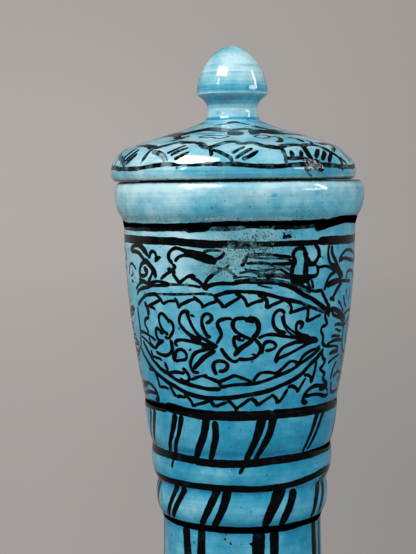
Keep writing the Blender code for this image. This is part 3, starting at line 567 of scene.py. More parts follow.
# Lid, as angle and distance in from the seat: the section that is repeated round the dome
LID_STROKES = (
    (1.6, WORN, ((-66, 8.1), (-56, 8), (-48, 8.1), (-42, 8.7), (-36, 9.5), (-30, 10), (-25, 9.6))),
    (1.0, WORN, ((-26, 9.6), (-18, 9.3), (-12, 9.7))),
    (1.5, WORN, ((-13, 9.7), (-8, 9.8), (-4, 9.6), (0, 9.6))),
    (1.7, WORN, ((-2, 9.7), (2, 9.5), (6, 9), (12, 8.5), (20, 8.3), (27, 8.9), (36, 9.2), (44, 9),
        (55.5, 8.5))),
    (2.5, WORN, ((-66, 25.6), (-62, 24.4), (-56.8, 24.9), (-49, 23.2), (-44, 22), (-42.6, 19))),
    (3.0, WORN, ((-49, 23.2), (-45.6, 21.6), (-43.2, 19.4))),
    (2.8, WORN, ((-42.2, 20), (-39, 22.5), (-36, 25), (-33, 27.4), (-29, 27.8), (-24, 27.2),
        (-20, 26.5))),
    (1.8, DULL, ((-32.5, 30), (-29.5, 27.8), (-26, 24.6))),
    (2.9, WORN, ((-21, 26.6), (-17.5, 25.5), (-15.5, 23), (-13.5, 20.7), (-10.6, 19.2))),
    (2.8, WORN, ((-12, 19.8), (-9, 21.5), (-7, 23.5), (-4, 26), (-1, 27.3), (2, 27), (4, 25.3))),
    (2.9, WORN, ((2, 26.6), (4, 25), (6, 24.6), (8, 25.3), (10, 25.5), (12, 25), (14, 22.8), (16, 21),
        (19, 20.5), (22, 19.5), (24, 18.5))),
    (2.9, WORN, ((23.6, 19), (26, 21.2), (29, 22), (32, 22.4), (36, 22), (38.4, 20.6))),
    (1.8, WORN, ((-43.2, 20), (-44.5, 15), (-45.4, 11.6))),
    (1.7, FAINT, ((-42, 18), (-37.4, 16.2), (-33.4, 14.2), (-31.4, 11.6))),
    (0.8, WORN, ((-41.6, 18.4), (-35.8, 17.1), (-32.2, 14.4), (-30.4, 11.6))),
    (0.8, WORN, ((-41.2, 16.9), (-36.8, 15.2), (-33.8, 13.5), (-32, 11.3))),
    (1.5, WORN, ((-10.8, 19.4), (-9.7, 16), (-9.6, 13.8))),
    (1.4, WORN, ((-10.4, 18.4), (-6, 16.5), (-3, 14.5), (-1, 13), (0.3, 10.4))),
    (1.5, WORN, ((24, 19.4), (24.5, 14), (24, 9.3))),
    (1.6, WORN, ((24.6, 12.5), (28, 12.2), (32, 12.5), (36.6, 11.4))),
    (1.4, WORN, ((-32, 16), (-28, 19), (-24.3, 23.2))),
    (1.5, WORN, ((-29.6, 14.6), (-25.5, 18), (-21.8, 20.3))),
    (1.4, WORN, ((-27.2, 12.4), (-24, 14.5), (-20.3, 17.1))),
    (1.4, DULL, ((-0.3, 15.4), (3, 18), (6.2, 20.5))),
    (1.4, WORN, ((1.3, 12.4), (5.5, 16), (9.7, 19.1))),
    (1.5, WORN, ((4.2, 11.9), (8, 13.8), (12.2, 17.1))),
    (1.9, WORN, ((28, 12.6), (28.6, 17.3))),
    (1.9, WORN, ((32.4, 12.6), (34.4, 17.3))),
    (1.0, WORN, ((-24, 36), (-19.6, 38.8), (-12, 38.8), (-6.6, 38.2), (-1.6, 37.4))),
    (1.0, WORN, ((-24, 36), (-18, 35), (-13.4, 35.4), (-9.6, 33), (-5.2, 34.4), (-1.6, 37.4))),
    (1.1, WORN, ((15.6, 34.8), (16, 37.4), (22, 39), (26, 36), (20.4, 32.8), (15.6, 34.8))),
    ((1.3, 2.0), WORN, ((26.8, 36), (31, 35.2), (31, 31.4), (27.6, 27.4), (24.6, 26.4))),
)
LID_REPEATS = 3

# Lid, strokes on the photographed side alone
LID_FRONT_STROKES = (
    (1.7, WORN, ((-63, 13.9), (-59.8, 17.7), (-57.5, 21.1))),
    (1.8, FULL, ((-59.5, 12.3), (-55.8, 16.2), (-53.5, 19.8))),
    (1.8, WORN, ((-57.8, 10.4), (-54.5, 13.7), (-51.8, 16.7))),
    (2.6, WORN, ((37.6, 20.6), (40, 22.2), (43, 23), (46, 22.6), (49, 21.4), (52, 18.9), (55.2, 16.2))),
    (1.9, FULL, ((54.6, 16.7), (58, 14.1), (59.4, 12), (59.4, 9.4), (58.8, 5.8))),
    (1.9, FULL, ((40.6, 12.6), (43.2, 15.2), (46.4, 18.4))),
    (1.8, FULL, ((44.3, 11.4), (47, 13.8), (50.5, 17))),
    (1.7, FULL, ((48.4, 10.4), (50.6, 12.4), (54.8, 15.8))),
    (1.8, WORN, ((64.6, 22.8), (66, 20.4), (62, 18.6), (57.8, 17.2))),
    (1.4, WORN, ((60.4, 13.4), (61.8, 11.4), (65.4, 9.7))),
    (1.4, WORN, ((69.6, 17.4), (70, 12.8), (71.4, 10.6))),
    (2.4, FULL, ((37.6, 21), (37.2, 17), (37.6, 13.5), (38.2, 10), (39.6, 6.6))),
    (1.4, FULL, ((39.6, 11.8), (42.2, 10.2), (43.4, 8.6), (41.8, 7))),
    (0.6, DULL, ((34.4, 5.6), (35.8, 4.2), (38, 3))),
    (1.0, FULL, ((33, 8), (34.6, 6.4), (37, 7.2))),
    (1.0, FULL, ((40.4, 8), (42, 6.2), (44.6, 6.8))),
    (1.2, FULL, ((35.6, 11.2), (34.2, 9), (34.8, 6.8))),
    (1.3, WORN, ((38.5, 33.7), (42, 34.2), (45.2, 33.4))),
    (2.2, FULL, ((45.2, 33), (44.5, 29.6), (43, 26.6))),
    (1.4, WORN, ((51.6, 31), (50, 26.4), (46, 23.2))),
    (5.4, FULL, ((-86, 39), (-78, 41), (-69.5, 42.4), (-55.5, 42.4), (-45.8, 42.4), (-38, 43.4))),
    (3.0, FULL, ((-70, 45.4), (-56, 45.2), (-46, 45.2), (-39, 46.4))),
    (5.4, FULL, ((-43, 44), (-41, 46.4), (-37, 48.3), (-32, 49.8), (-26.8, 51.2), (-19.5, 50.9),
        (-10, 48.9), (-3, 47.1), (-2, 44.6))),
    (4.4, FULL, ((-4.6, 44.4), (2.8, 44), (9.4, 44.2))),
    (4.4, FULL, ((-4, 41.4), (2.8, 41), (9, 41.6))),
    (2.8, FULL, ((-0.2, 48.2), (5.8, 50.2), (14.2, 50.9), (19.2, 48.8), (19.8, 46.4))),
    (3.0, FULL, ((18.4, 49), (17.2, 44), (15, 39.4))),
    (3.0, FULL, ((21.4, 49), (20.4, 45), (18, 40))),
    (6.2, FULL, ((19.5, 46), (25.5, 46.4), (32.2, 45.1), (39.2, 43.9), (47, 42.4))),
    (3.0, WORN, ((46, 42.6), (56, 41.4), (65.8, 40.6), (76, 40.4))),
    (3.0, DULL, ((26, 57), (30, 55.1), (36, 51.8), (45.8, 48.6), (54, 46))),
    (2.8, WORN, ((-50, 41.6), (-44, 38.4), (-39, 35.4), (-35.5, 36.7), (-33.2, 39.7))),
    (1.8, DULL, ((-40, 30), (-36, 33.8), (-33, 38.6))),
    (1.6, FAINT, ((-27, 57), (-23, 57.8), (-15, 58.8), (-8, 60.2))),
    (2.0, FULL, ((-9, 60.1), (-4, 61.3), (1, 62), (7.8, 61.9), (13.5, 60.6))),
    (1.5, DULL, ((12, 61), (20, 59.3), (27, 57.4))),
    (2.4, DULL, ((-58, 63), (-63.8, 62.3), (-70, 59), (-78, 52.5), (-84, 46))),
    (2.4, DULL, ((58, 63), (63.2, 61.6), (71.5, 55.9), (78, 50), (84, 44))),
)

# Lid, the end of the section on the unseen sides, and the rings that go on behind the knob
LID_BACK_STROKES = (
    (2.2, DULL, ((37.6, 20.6), (40, 22.2), (43, 22.6), (45.6, 20.6), (47, 16.8), (50, 14.8), (54, 14),
        (59.5, 11.5), (61.2, 8.4))),
    (1.4, WORN, ((48.5, 13.5), (48, 10.1), (46.8, 8))),
    (1.8, FULL, ((37.6, 21), (38, 17), (38, 13.5), (37, 10.4))),
)
LID_BACK_TURNS = (120.0, 240.0)
LID_RING_STROKES = (
    (3.8, FULL, ((-41, 43.6), (-24, 46.8), (-10, 48.4), (4, 46.2), (18, 44.4), (32, 46.4), (46, 47.2),
        (63, 44))),
    (1.8, DULL, ((-42, 57.4), (-20, 57), (-4, 59.4), (12, 60), (28, 58), (44, 56.4), (62, 58))),
)
LID_RING_TURNS = (120.0, 218.0)

# How the surface is cut up
ROUND_STEPS = 192
ROW_STEP = 1.1
FINE_ROW_STEP = 0.36
FINE_REACH = 3.2
SKIN_STEP = 0.25
SKIN_SOFTENING = 14
STROKE_STEP = 0.95
STROKE_CROSS_STEP = 0.55
STROKE_SINK = 0.12

# How far a curve's handles reach: a quarter round, a ring, and the S-shaped rises of foot, collar and knob
QUARTER_ROUND = 0.5523
RING_PULL = 0.2
FOOT_PULL = 0.3
COLLAR_PULLS = (0.26, 0.72)
KNOB_PULLS = (0.62, 0.07)

# Stretch of the vase's outside that glaze softens, from above the foot's roll to the collar
SOFT_FROM = 12.0
SOFT_TO = 329.0

# Unevenness of the thrown walls: size, start and lean of two waves round them, full from this radius on
SLOW_WOBBLE = 0.09
SLOW_START = 0.6
SLOW_LEAN = 0.011
QUICK_WOBBLE = 0.05
QUICK_LEAN = 0.023
WOBBLE_RADIUS = 30.0

# Edges sharper than this aren't shaded smooth; slopes are measured over this step
SHARP_ANGLE = math.radians(50)
SLOPE_STEP = 0.2
LEAST_STRETCH = 0.05

# Strokes: fewest points across, where they spread less, and lengths of their ends against their width
FEWEST_LANES = 5
BROAD_WIDTH = 3.3
BROAD_SPREAD = 0.8
HEAD_LENGTH = 0.5
TAIL_LENGTH = 0.8
END_SHARE = 0.02
THINNEST_SHARE = 0.12

# Waver of a stroke's width: two waves along it, less in strokes broader than this
SLOW_SWAY = 0.37
QUICK_SWAY = 1.13
QUICK_SHARE = 0.6
SWAY_PHASE = 1.7
QUICK_PHASE = 2.3
STEADY_WIDTH = 2.0

# Strokes that cross lie in layers: how many, the skip from stroke to stroke, the lowest and the spread
LAYER_COUNT = 11
LAYER_SKIP = 7
LOWEST_LAYER = 0.8
LAYER_SPREAD = 0.4

# How a stroke's top dips at its edges
EDGE_DIP = 1.3
EDGE_POWER = 6

# Space round each stroke on the bake sheet, and the corner of the sheet for faces that stay hidden
SHEET_MARGIN = 0.5
SHEET_SLACK = 1.06
HIDDEN_SPOT = 0.997
HIDDEN_REACH = 0.002

# The front and the back of the vase
FACES = (0.0, 180.0)


class GlazeSettings(bpy.types.PropertyGroup):
    """Colours of the glaze, the paint and the bare clay."""

    deep: bpy.props.FloatVectorProperty(
        name="Deep glaze", description="Where the glaze pools", subtype="COLOR", size=3,
        default=(0.009, 0.132, 0.268))
    middle: bpy.props.FloatVectorProperty(
        name="Middle glaze", description="Over most of the vase", subtype="COLOR", size=3,
        default=(0.022, 0.257, 0.420))
    vivid: bpy.props.FloatVectorProperty(
        name="Vivid glaze", description="Where the glaze is bright and clear", subtype="COLOR", size=3,
        default=(0.064, 0.334, 0.494))
    light: bpy.props.FloatVectorProperty(
        name="Light glaze", description="Where the glaze is thin", subtype="COLOR", size=3,
        default=(0.134, 0.430, 0.560))
    milky: bpy.props.FloatVectorProperty(
        name="Milky glaze", description="On the collar, the lid and the knob", subtype="COLOR", size=3,
        default=(0.450, 0.680, 0.748))
    speck: bpy.props.FloatVectorProperty(
        name="Specks", description="Small dark specks in the glaze", subtype="COLOR", size=3,
        default=(0.004, 0.050, 0.095))
    paint: bpy.props.FloatVectorProperty(
        name="Paint", description="Brushwork where it is thick", subtype="COLOR", size=3,
        default=(0.0015, 0.0019, 0.0021))
    wash: bpy.props.FloatVectorProperty(
        name="Paint wash", description="Brushwork where it is thin", subtype="COLOR", size=3,
        default=(0.020, 0.052, 0.056))
    smear: bpy.props.FloatVectorProperty(
        name="Smear", description="Grey-green smears on worn glaze", subtype="COLOR", size=3,
        default=(0.085, 0.175, 0.168))
    clay: bpy.props.FloatVectorProperty(
        name="Bare clay", description="Unglazed foot ring", subtype="COLOR", size=3,
        default=(0.480, 0.300, 0.190))


class BrushSettings(bpy.types.PropertyGroup):
    """How the strokes lie on the surface."""

    lift: bpy.props.FloatProperty(
        name="Lift", description="How far a stroke's middle stands off the glaze", subtype="DISTANCE",
        unit="LENGTH", default=0.00004, min=0.00001, max=0.0005, precision=6)
    waver: bpy.props.FloatProperty(
        name="Waver", description="How much a stroke's width changes along it", subtype="FACTOR",
        default=0.17, min=0.0, max=0.5)
    breadth: bpy.props.FloatProperty(
        name="Breadth", description="Width of the vase's strokes against the widths written here",
        subtype="FACTOR", default=1.35, min=0.5, max=2.0)
    lid_breadth: bpy.props.FloatProperty(
        name="Lid breadth", description="Width of the lid's strokes against the widths written here",
        subtype="FACTOR", default=1.65, min=0.5, max=2.0)


class StageSettings(bpy.types.PropertyGroup):
    """Lamps and backdrop."""

    floor: bpy.props.FloatVectorProperty(
        name="Floor", description="Paper under the vase", subtype="COLOR", size=3,
        default=(0.540, 0.502, 0.484))
    backdrop_left: bpy.props.FloatVectorProperty(
        name="Backdrop, left", description="Paper behind the vase on the left", subtype="COLOR", size=3,
        default=(0.436, 0.408, 0.392))
    backdrop_right: bpy.props.FloatVectorProperty(
        name="Backdrop, right", description="Paper behind the vase on the right", subtype="COLOR", size=3,
        default=(0.352, 0.331, 0.317))
    key_power: bpy.props.FloatProperty(
        name="Left lamp", description="Power of the lamp on the left", subtype="POWER", default=12.5)
    side_power: bpy.props.FloatProperty(
        name="Right lamp", description="Power of the lamp on the right", subtype="POWER", default=3.5)
    fill_power: bpy.props.FloatProperty(
        name="Front light", description="Power of the wide soft light in front", subtype="POWER",
        default=12.0)
    far_power: bpy.props.FloatProperty(
        name="Right fill", description="Power of the wide soft light on the right", subtype="POWER",
        default=5.2)
    back_power: bpy.props.FloatProperty(
        name="Back light", description="Power of the wide soft light behind the vase", subtype="POWER",
        default=18.0)
    ambient: bpy.props.FloatProperty(
        name="Room light", description="Strength of the even light all round", subtype="FACTOR",
        default=0.06, min=0.0, max=1.0)


def between(start, end, share):
    """The number that lies this share of the way from start to end."""
    return start + (end - start) * share


def curve(controls, steps):
    """Points along a Bezier curve, from its first control point to its last."""
    found = []
    for step in range(steps + 1):
        share = step / steps
        points = list(controls)
        while len(points) > 1:
            points = [
                (between(a[0], b[0], share), between(a[1], b[1], share))
                for a, b in zip(points, points[1:])
            ]
        found.append(points[0])
    return found


def moulding(low, high, crown, steps):
    """A rounded ring that swells to the crown radius half way up."""
    handle = (8 * crown - low[0] - high[0]) / 6
    low_handle = (handle, between(low[1], high[1], RING_PULL))
    high_handle = (handle, between(high[1], low[1], RING_PULL))
    return curve([low, low_handle, high_handle, high], steps)


def ogee(low, high, steps, low_pull, high_pull):
    """An S-shaped rise that leaves and arrives upright."""
    low_handle = (low[0], between(low[1], high[1], low_pull))
    high_handle = (high[0], between(high[1], low[1], high_pull))
    return curve([low, low_handle, high_handle, high], steps)


def quarter(upright, level, steps):
    """A quarter of an ellipse from an upright end to a level one."""
    rising = (upright[0], between(upright[1], level[1], QUARTER_ROUND))
    flat = (between(level[0], upright[0], QUARTER_ROUND), level[1])
    return curve([upright, rising, flat, level], steps)


def flare_curve(inset, steps):
    """The spreading foot up to the waist, moved in by the inset."""
    foot = FLARE_RADIUS - inset
    waist = WAIST_RADIUS - inset
    return curve([
        (foot, FOOT_TOP),
        (between(foot, waist, 0.55), between(FOOT_TOP, FLARE_TOP, 0.25)),
        (waist, between(FLARE_TOP, FOOT_TOP, 0.45)),
        (waist, FLARE_TOP),
    ], steps)


def bowl_curve(inset, steps):
    """The bowl from the ridge up to the collar, moved in by the inset."""
    return curve([
        (BOWL_FOOT_RADIUS - inset, BAND_TOP),
        (BOWL_SWELL_RADIUS - inset, between(BAND_TOP, BOWL_TOP, 0.3)),
        (BOWL_RADIUS - inset, between(BOWL_TOP, BAND_TOP, 0.38)),
        (BOWL_RADIUS - inset, BOWL_TOP),
    ], steps)


def foot_roll(steps):
    """The foot's roll from the base up to its widest place."""
    return quarter((FOOT_ROLL_RADIUS, FOOT_ROLL_TOP), (FOOT_BASE_RADIUS, 0.0), steps)[::-1]


def rim_roll(steps):
    """The collar's roll from its widest place in over the rim."""
    return quarter((COLLAR_RADIUS, COLLAR_TOP), (RIM_RADIUS, RIM_TOP), steps)


def run_value(run, place):
    """Radius of a rising run at this height."""
    if place <= run[0][1]:
        return run[0][0]
    for (r0, z0), (r1, z1) in zip(run, run[1:]):
        if place <= z1:
            return between(r0, r1, (place - z0) / max(z1 - z0, 1e-9))
    return run[-1][0]


def vase_outside():
    """Radii of the vase's outside at even heights, with the sharp corners softened as glaze softens them."""
    waist = (WAIST_RADIUS, FLARE_TOP)
    lower_ring = (LOWER_RING_RADIUS, LOWER_RING_TOP)
    upper_ring = (UPPER_RING_RADIUS, UPPER_RING_TOP)
    run = foot_roll(16)
    run += ogee((FOOT_ROLL_RADIUS, FOOT_ROLL_TOP), (FLARE_RADIUS, FOOT_TOP), 16, QUARTER_ROUND, FOOT_PULL)[1:]
    run += flare_curve(0.0, 90)[1:]
    run += moulding(waist, lower_ring, LOWER_RING_CROWN, 40)[1:]
    run += moulding(lower_ring, upper_ring, UPPER_RING_CROWN, 40)[1:]
    run += moulding(upper_ring, (RIDGE_RADIUS, BAND_TOP), BAND_CROWN, 40)[1:]
    run += bowl_curve(0.0, 90)
    run += ogee((BOWL_RADIUS, BOWL_TOP), (COLLAR_RADIUS, COLLAR_TOP), 40, *COLLAR_PULLS)[1:]
    run += rim_roll(16)[1:]
    count = round(RIM_TOP / SKIN_STEP)
    rows = []
    place = 0
    for step in range(count + 1):
        height = step * SKIN_STEP
        while place < len(run) - 2 and run[place + 1][1] < height:
            place += 1
        rows.append(run_value(run[place:place + 2], height))
    low = round(SOFT_FROM / SKIN_STEP)
    high = round(SOFT_TO / SKIN_STEP)
    for _ in range(SKIN_SOFTENING):
        softened = list(rows)
        for step in range(low, high):
            softened[step] = (rows[step - 1] + 2 * rows[step] + rows[step + 1]) / 4
        rows = softened
    return rows


def lid_outside():
    """The lid's outside from the seat over the edge and the dome and up the knob, as radius and height."""
    edge_radius, edge_height = LID_EDGE
    shoulder_radius, shoulder_height = LID_SHOULDER
    foot_radius, foot_height = KNOB_FOOT
    crown_radius, crown_height = KNOB_CROWN
    side_reach = (edge_radius - shoulder_radius) / 2
    dome_reach = (shoulder_radius - foot_radius) / 4
    run = quarter(LID_EDGE, LID_SEAT_EDGE, 12)[::-1]
    run += curve([
        LID_EDGE,
        (edge_radius, between(edge_height, shoulder_height, 0.4)),
        (shoulder_radius + side_reach, shoulder_height - side_reach * 0.4),
        LID_SHOULDER,
    ], 22)[1:]
    run += curve([
        LID_SHOULDER,
        (shoulder_radius - dome_reach, shoulder_height + dome_reach * 0.46),
        (foot_radius + dome_reach, foot_height - dome_reach * 0.5),
        KNOB_FOOT,
    ], 36)[1:]
    run += quarter(KNOB_NECK, KNOB_FOOT, 12)[::-1][1:]
    run += ogee(KNOB_NECK, KNOB_CROWN, 20, *KNOB_PULLS)[1:]
    rising = (crown_radius, between(crown_height, KNOB_TIP[1], QUARTER_ROUND))
    run += curve([KNOB_CROWN, rising, KNOB_SHOULDER, KNOB_TIP], 34)[1:]
    return run


VASE_ROWS = vase_outside()
LID_RUN = lid_outside()


def lid_arcs():
    """Distance along the lid's outside of each of its points."""
    arcs = [0.0]
    for a, b in zip(LID_RUN, LID_RUN[1:]):
        arcs.append(arcs[-1] + math.dist(a, b))
    return arcs


LID_ARCS = lid_arcs()


def vase_skin(height):
    """Radius and height on the vase's outside."""
    place = min(max(height / SKIN_STEP, 0.0), len(VASE_ROWS) - 1.001)
    row = int(place)
    return between(VASE_ROWS[row], VASE_ROWS[row + 1], place - row), height


def lid_skin(arc):
    """Radius and height on the lid's outside, this far in from the seat."""
    arc = min(max(arc, 0.0), LID_ARCS[-1] - 0.001)
    low = 0
    high = len(LID_ARCS) - 1
    while high - low > 1:
        middle = (low + high) // 2
        if LID_ARCS[middle] <= arc:
            low = middle
        else:
            high = middle
    share = (arc - LID_ARCS[low]) / (LID_ARCS[high] - LID_ARCS[low])
    a = LID_RUN[low]
    b = LID_RUN[high]
    return between(a[0], b[0], share), between(a[1], b[1], share) + LID_SEAT


def wobble(turn, height):
    """Slight unevenness of a hand-thrown wall, in millimetres."""
    angle = math.radians(turn)
    slow = math.sin(2 * angle + SLOW_START + height * SLOW_LEAN) * SLOW_WOBBLE
    quick = math.sin(3 * angle - height * QUICK_LEAN) * QUICK_WOBBLE
    return slow + quick - patched(PRESSED, turn, height)


def thrown(radius, turn, height, shift):
    """A point of the surface in metres."""
    angle = math.radians(turn)
    reach = radius + wobble(turn, height) * min(1.0, radius / WOBBLE_RADIUS)
    return Vector((
        (reach * math.sin(angle) + shift) * MM,
        -reach * math.cos(angle) * MM,
        height * MM,
    ))


# How thin and milky the glaze is at each height of the vase and of the lid
VASE_THINNESS = (
    (0, 0.32), (8, 0.40), (16, 0.44), (22, 0.20), (30, 0.32), (60, 0.36), (100, 0.40), (140, 0.48),
    (160, 0.46), (165.5, 0.14), (170, 0.41), (176, 0.57), (181, 0.42), (184.4, 0.14), (189, 0.34),
    (195, 0.44), (200, 0.29), (203.7, 0.16), (208, 0.37), (215, 0.40), (222, 0.41), (225.2, 0.52),
    (228, 0.34), (236, 0.36), (255, 0.45), (275, 0.55), (300, 0.62), (312, 0.63), (318, 0.53),
    (323, 0.53), (327, 0.58), (331, 0.70), (336, 0.80), (338, 0.92), (340, 0.80),
)
LID_THINNESS = (
    (0, 0.74), (1.6, 0.86), (3, 0.74), (5, 0.75), (10, 0.81), (17, 0.85), (24, 0.82), (29, 0.80),
    # From 40 to 43 above the seat, under the knob's crown, the glaze is deeper and darker: pooled glaze and
    # painted shade in the undercut
    (30.8, 0.80), (31.4, 0.42), (32.0, 0.42), (32.7, 0.93), (36, 0.97), (38.4, 0.88), (40, 0.56),
    (43, 0.54), (44.2, 0.74), (44.7, 0.96), (45.2, 0.86), (45.9, 0.54), (47.2, 0.53), (48.8, 0.63),
    (50.5, 0.76), (53, 0.84), (54.6, 0.88), (55, 0.84), (55.5, 0.92), (58.4, 0.94), (60, 0.92),
    (63, 0.86), (66, 0.84), (68, 0.80), (70.5, 0.82),
)


def table_value(table, place):
    """Value of a table of places and values at this place."""
    if place <= table[0][0]:
        return table[0][1]
    for (p0, v0), (p1, v1) in zip(table, table[1:]):
        if place <= p1:
            return between(v0, v1, (place - p0) / (p1 - p0))
    return table[-1][1]


# Marks of the glaze, carried by the points of each mesh; the stain mark also carries painted shade and dirt
# in the seam under the lid
MARK_LABELS = ("Thinness", "Wheel", "Stain")

# How strongly the wheel's fine rings show at each height of the vase and of the lid
VASE_WHEEL = ((0, 0.20), (165, 0.18), (205, 0.15), (230, 0.10), (312, 0.10), (322, 0.18), (340, 0.22))
LID_WHEEL = ((0, 0.4), (12, 0.25), (30, 0.35), (36, 0.45), (44, 0.35), (72, 0.42))

# Stains and worn places: angle, height, reach round, reach up and strength
VASE_STAINS = (
    (5, 308, 24, 10, 0.9), (-9, 299, 14, 9, 0.80), (15, 298, 16, 8, 0.78), (23, 313.4, 4, 2.6, 0.9),
    # The first three entries of the next row darken a band round the foot of the collar
    (0, 321.4, 500, 2.4, 0.6), (6, 321, 24, 2.4, 0.55), (-38, 320.8, 17, 2.0, 0.6), (4, 329, 12, 8, 0.28),
    (-8, 326, 3, 7, 0.42), (30, 249, 5, 3, 0.4), (-12, 160.5, 2.6, 2.4, 0.6), (-4, 157, 2.4, 3.2, 0.5),
    (150, 242, 10, 6, 0.5), (-158, 303, 12, 7, 0.7), (108, 331, 4, 6, 0.4), (-100, 90, 8, 9, 0.35),
    (60, 14, 9, 5, 0.5), (-40, 10, 12, 6, 0.4), (170, 12, 10, 6, 0.5),
)
LID_STAINS = (
    (40, 7, 6, 4.4, 0.85), (-6, 3, 5, 3.5, 0.3), (-52, 3, 8, 3.5, 0.3), (160, 8, 8, 5, 0.6),
    # The last entry of the next row greys the glaze at the front under the knob's crown
    (-140, 14, 9, 5, 0.5), (-12, 42, 40, 2.2, 0.6),
)

# Places where the glaze ran deeper, or thinner below nought: angle, height, reach round, reach up and depth
VASE_POOLS_AND_GLINT = (
    (4, 214, 26, 9, 0.09), (-46, 193, 22, 8, 0.07), (22, 328, 15, 5, 0.12), (36, 334, 2, 1, 0.25),
    (14.5, 333, 0.9, 0.8, 0.4), (-26, 330, 16, 6, 0.03), (-20, 313.6, 13, 2.4, -0.26),
    # The first two entries of the next row are a painted highlight: a pale glint line along the hollow at the
    # foot of the collar
    (-13, 321.8, 6, 0.7, -0.40), (10, 321.8, 18, 0.5, -0.20), (-12, 327, 0.7, 0.5, 0.5),
    (-130, 329, 20, 5, 0.2), (160, 330, 15, 4, 0.2),
)
LID_POOLS = (
    (-18, 4.4, 10, 3, 0.20), (2, 4.4, 10, 3, 0.06), (22, 4.6, 13, 4, 0.26), (52, 4.6, 16, 4.6, 0.30),
    (-20, 23.4, 14, 0.5, 0.34), (6, 26, 26, 0.9, 0.16), (35, 58.7, 25, 0.45, 0.34),
    (-50, 58.7, 25, 0.4, 0.16), (-34, 34.8, 6, 0.6, 0.35), (3, 34.8, 8, 0.4, 0.25), (58, 35, 5, 1.0, 0.3),
    (150, 5, 30, 4, 0.2),
)

# Thinness, wheel marks and stain inside both pots, and of the bare ring
INSIDE_MARKS = (0.6, 0.8, 0.0)
BARE_MARKS = (0.5, 0.0, 0.0)

# Painted light and shade: how much lighter the glaze is drawn towards the lamp-lit side of the vase, darker
# opposite, and where it is lightest
PAINTED_SIDE_LIGHT = 0.12
PAINTED_LIGHT_SIDE = -62.0

# Where the lid was pressed in while wet: angle, height, reach round, reach up and depth
PRESSED = ((92, LID_SEAT + 14.6, 32, 3.6, 2.3), (-22, LID_SEAT + 9.2, 17, 3.6, 0.45))

# Painted shade and dirt in the seam under the lid: how far they spread and how strong they are at the edge
SEAM_DIRT_AND_SHADE_REACH = 1.5
SEAM_DIRT_AND_SHADE = 2.0


def soft_patch(patch, turn, height):
    """Strength at this place of a soft patch: angle, height, reach round, reach up and strength."""
    middle, level, reach, rise, strength = patch
    aside = ((turn - middle + 180) % 360 - 180) / reach
    above = (height - level) / rise
    return strength * math.exp(-aside * aside - above * above)


def stained(stains, turn, height):
    """How stained the glaze is here, from 0 to 1; more than 1 is painted shade and dirt in the seam under the
    lid.
    """
    return max(soft_patch(stain, turn, height) for stain in stains)


def patched(patches, turn, height):
    """Sum of soft patches at this place."""
    return sum(soft_patch(patch, turn, height) for patch in patches)


def painted_side_light(turn):
    """Painted light and shade: how much lighter the glaze is drawn on this side."""
    return PAINTED_SIDE_LIGHT * math.cos(math.radians(turn - PAINTED_LIGHT_SIDE))


def vase_marks(turn, height):
    """Thinness, wheel marks and stain of the vase's glaze at this place."""
    seam = max(0.0, 1 - (RIM_TOP - height) / SEAM_DIRT_AND_SHADE_REACH)
    # Near the rim the stain rises past 1: painted shade and dirt in the seam under the lid
    stain = max(stained(VASE_STAINS, turn, height), seam * SEAM_DIRT_AND_SHADE)
    thinness = table_value(VASE_THINNESS, height) + painted_side_light(turn) - patched(VASE_POOLS_AND_GLINT, turn, height)
    return thinness, table_value(VASE_WHEEL, height), stain


def lid_marks(turn, height):
    """Thinness, wheel marks and stain of the lid's glaze at this place."""
    height -= LID_SEAT
    seam = max(0.0, min(1.0, 1 - height / SEAM_DIRT_AND_SHADE_REACH))
    # Near the seat the stain rises past 1: painted shade and dirt in the seam under the lid
    stain = max(stained(LID_STAINS, turn, height), seam * SEAM_DIRT_AND_SHADE)
    thinness = table_value(LID_THINNESS, height) - patched(LID_POOLS, turn, height)
    return thinness, table_value(LID_WHEEL, height), stain


def plain_marks(turn, height):
    """Marks of the glaze inside both pots, the same at every place."""
    return INSIDE_MARKS


def linked(name, data):
    """A new object in the scene."""
    made = bpy.data.objects.new(name, data)
    bpy.context.scene.collection.objects.link(made)
    return made


def new_object(name, points, faces, marks, body, material):
    """A smooth mesh piece that rides on a body of the frame."""
    mesh = bpy.data.meshes.new(name)
    mesh.from_pydata(points, [], faces)
    mesh.shade_smooth()
    for place, label in enumerate(MARK_LABELS):
        values = mesh.attributes.new(label.lower(), "FLOAT", "POINT")
        values.data.foreach_set("value", [mark[place] for mark in marks])
    mesh.materials.append(material)
    piece = linked(name, mesh)
    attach(piece, body)
    return piece


def turned(name, profile, shift, body, material):
    """A closed pot from a profile of radius, height and marks that starts and ends on the axis."""
    points = []
    faces = []
    marks = []
    rings = []
    for radius, height, marks_at in profile:
        if radius < 1e-6:
            rings.append([len(points)])
            points.append(Vector((shift * MM, 0.0, height * MM)))
            marks.append(marks_at(0.0, height))
            continue
        ring = []
        for step in range(ROUND_STEPS):
            turn = 360 * step / ROUND_STEPS
            ring.append(len(points))
            points.append(thrown(radius, turn, height, shift))
            marks.append(marks_at(turn, height))
        rings.append(ring)
    for low, high in zip(rings, rings[1:]):
        for step in range(ROUND_STEPS):
            following = (step + 1) % ROUND_STEPS
            if len(low) == 1:
                faces.append((low[0], high[following], high[step]))
            elif len(high) == 1:
                faces.append((low[step], low[following], high[0]))
            else:
                faces.append((low[step], low[following], high[following], high[step]))
    piece = new_object(name, points, faces, marks, body, material)
    piece.data.set_sharp_from_angle(angle=SHARP_ANGLE)
    return piece


def outside_heights():
    """Heights of the vase's rows: close where the profile turns sharply, further apart elsewhere."""
    corners = (FOOT_TOP, FLARE_TOP, LOWER_RING_TOP, UPPER_RING_TOP, BAND_TOP)
    heights = []
    height = FOOT_ROLL_TOP
    while height < COLLAR_TOP:
        heights.append(height)
        near = min(abs(height - corner) for corner in corners)
        height += FINE_ROW_STEP if near < FINE_REACH else ROW_STEP
    return heights


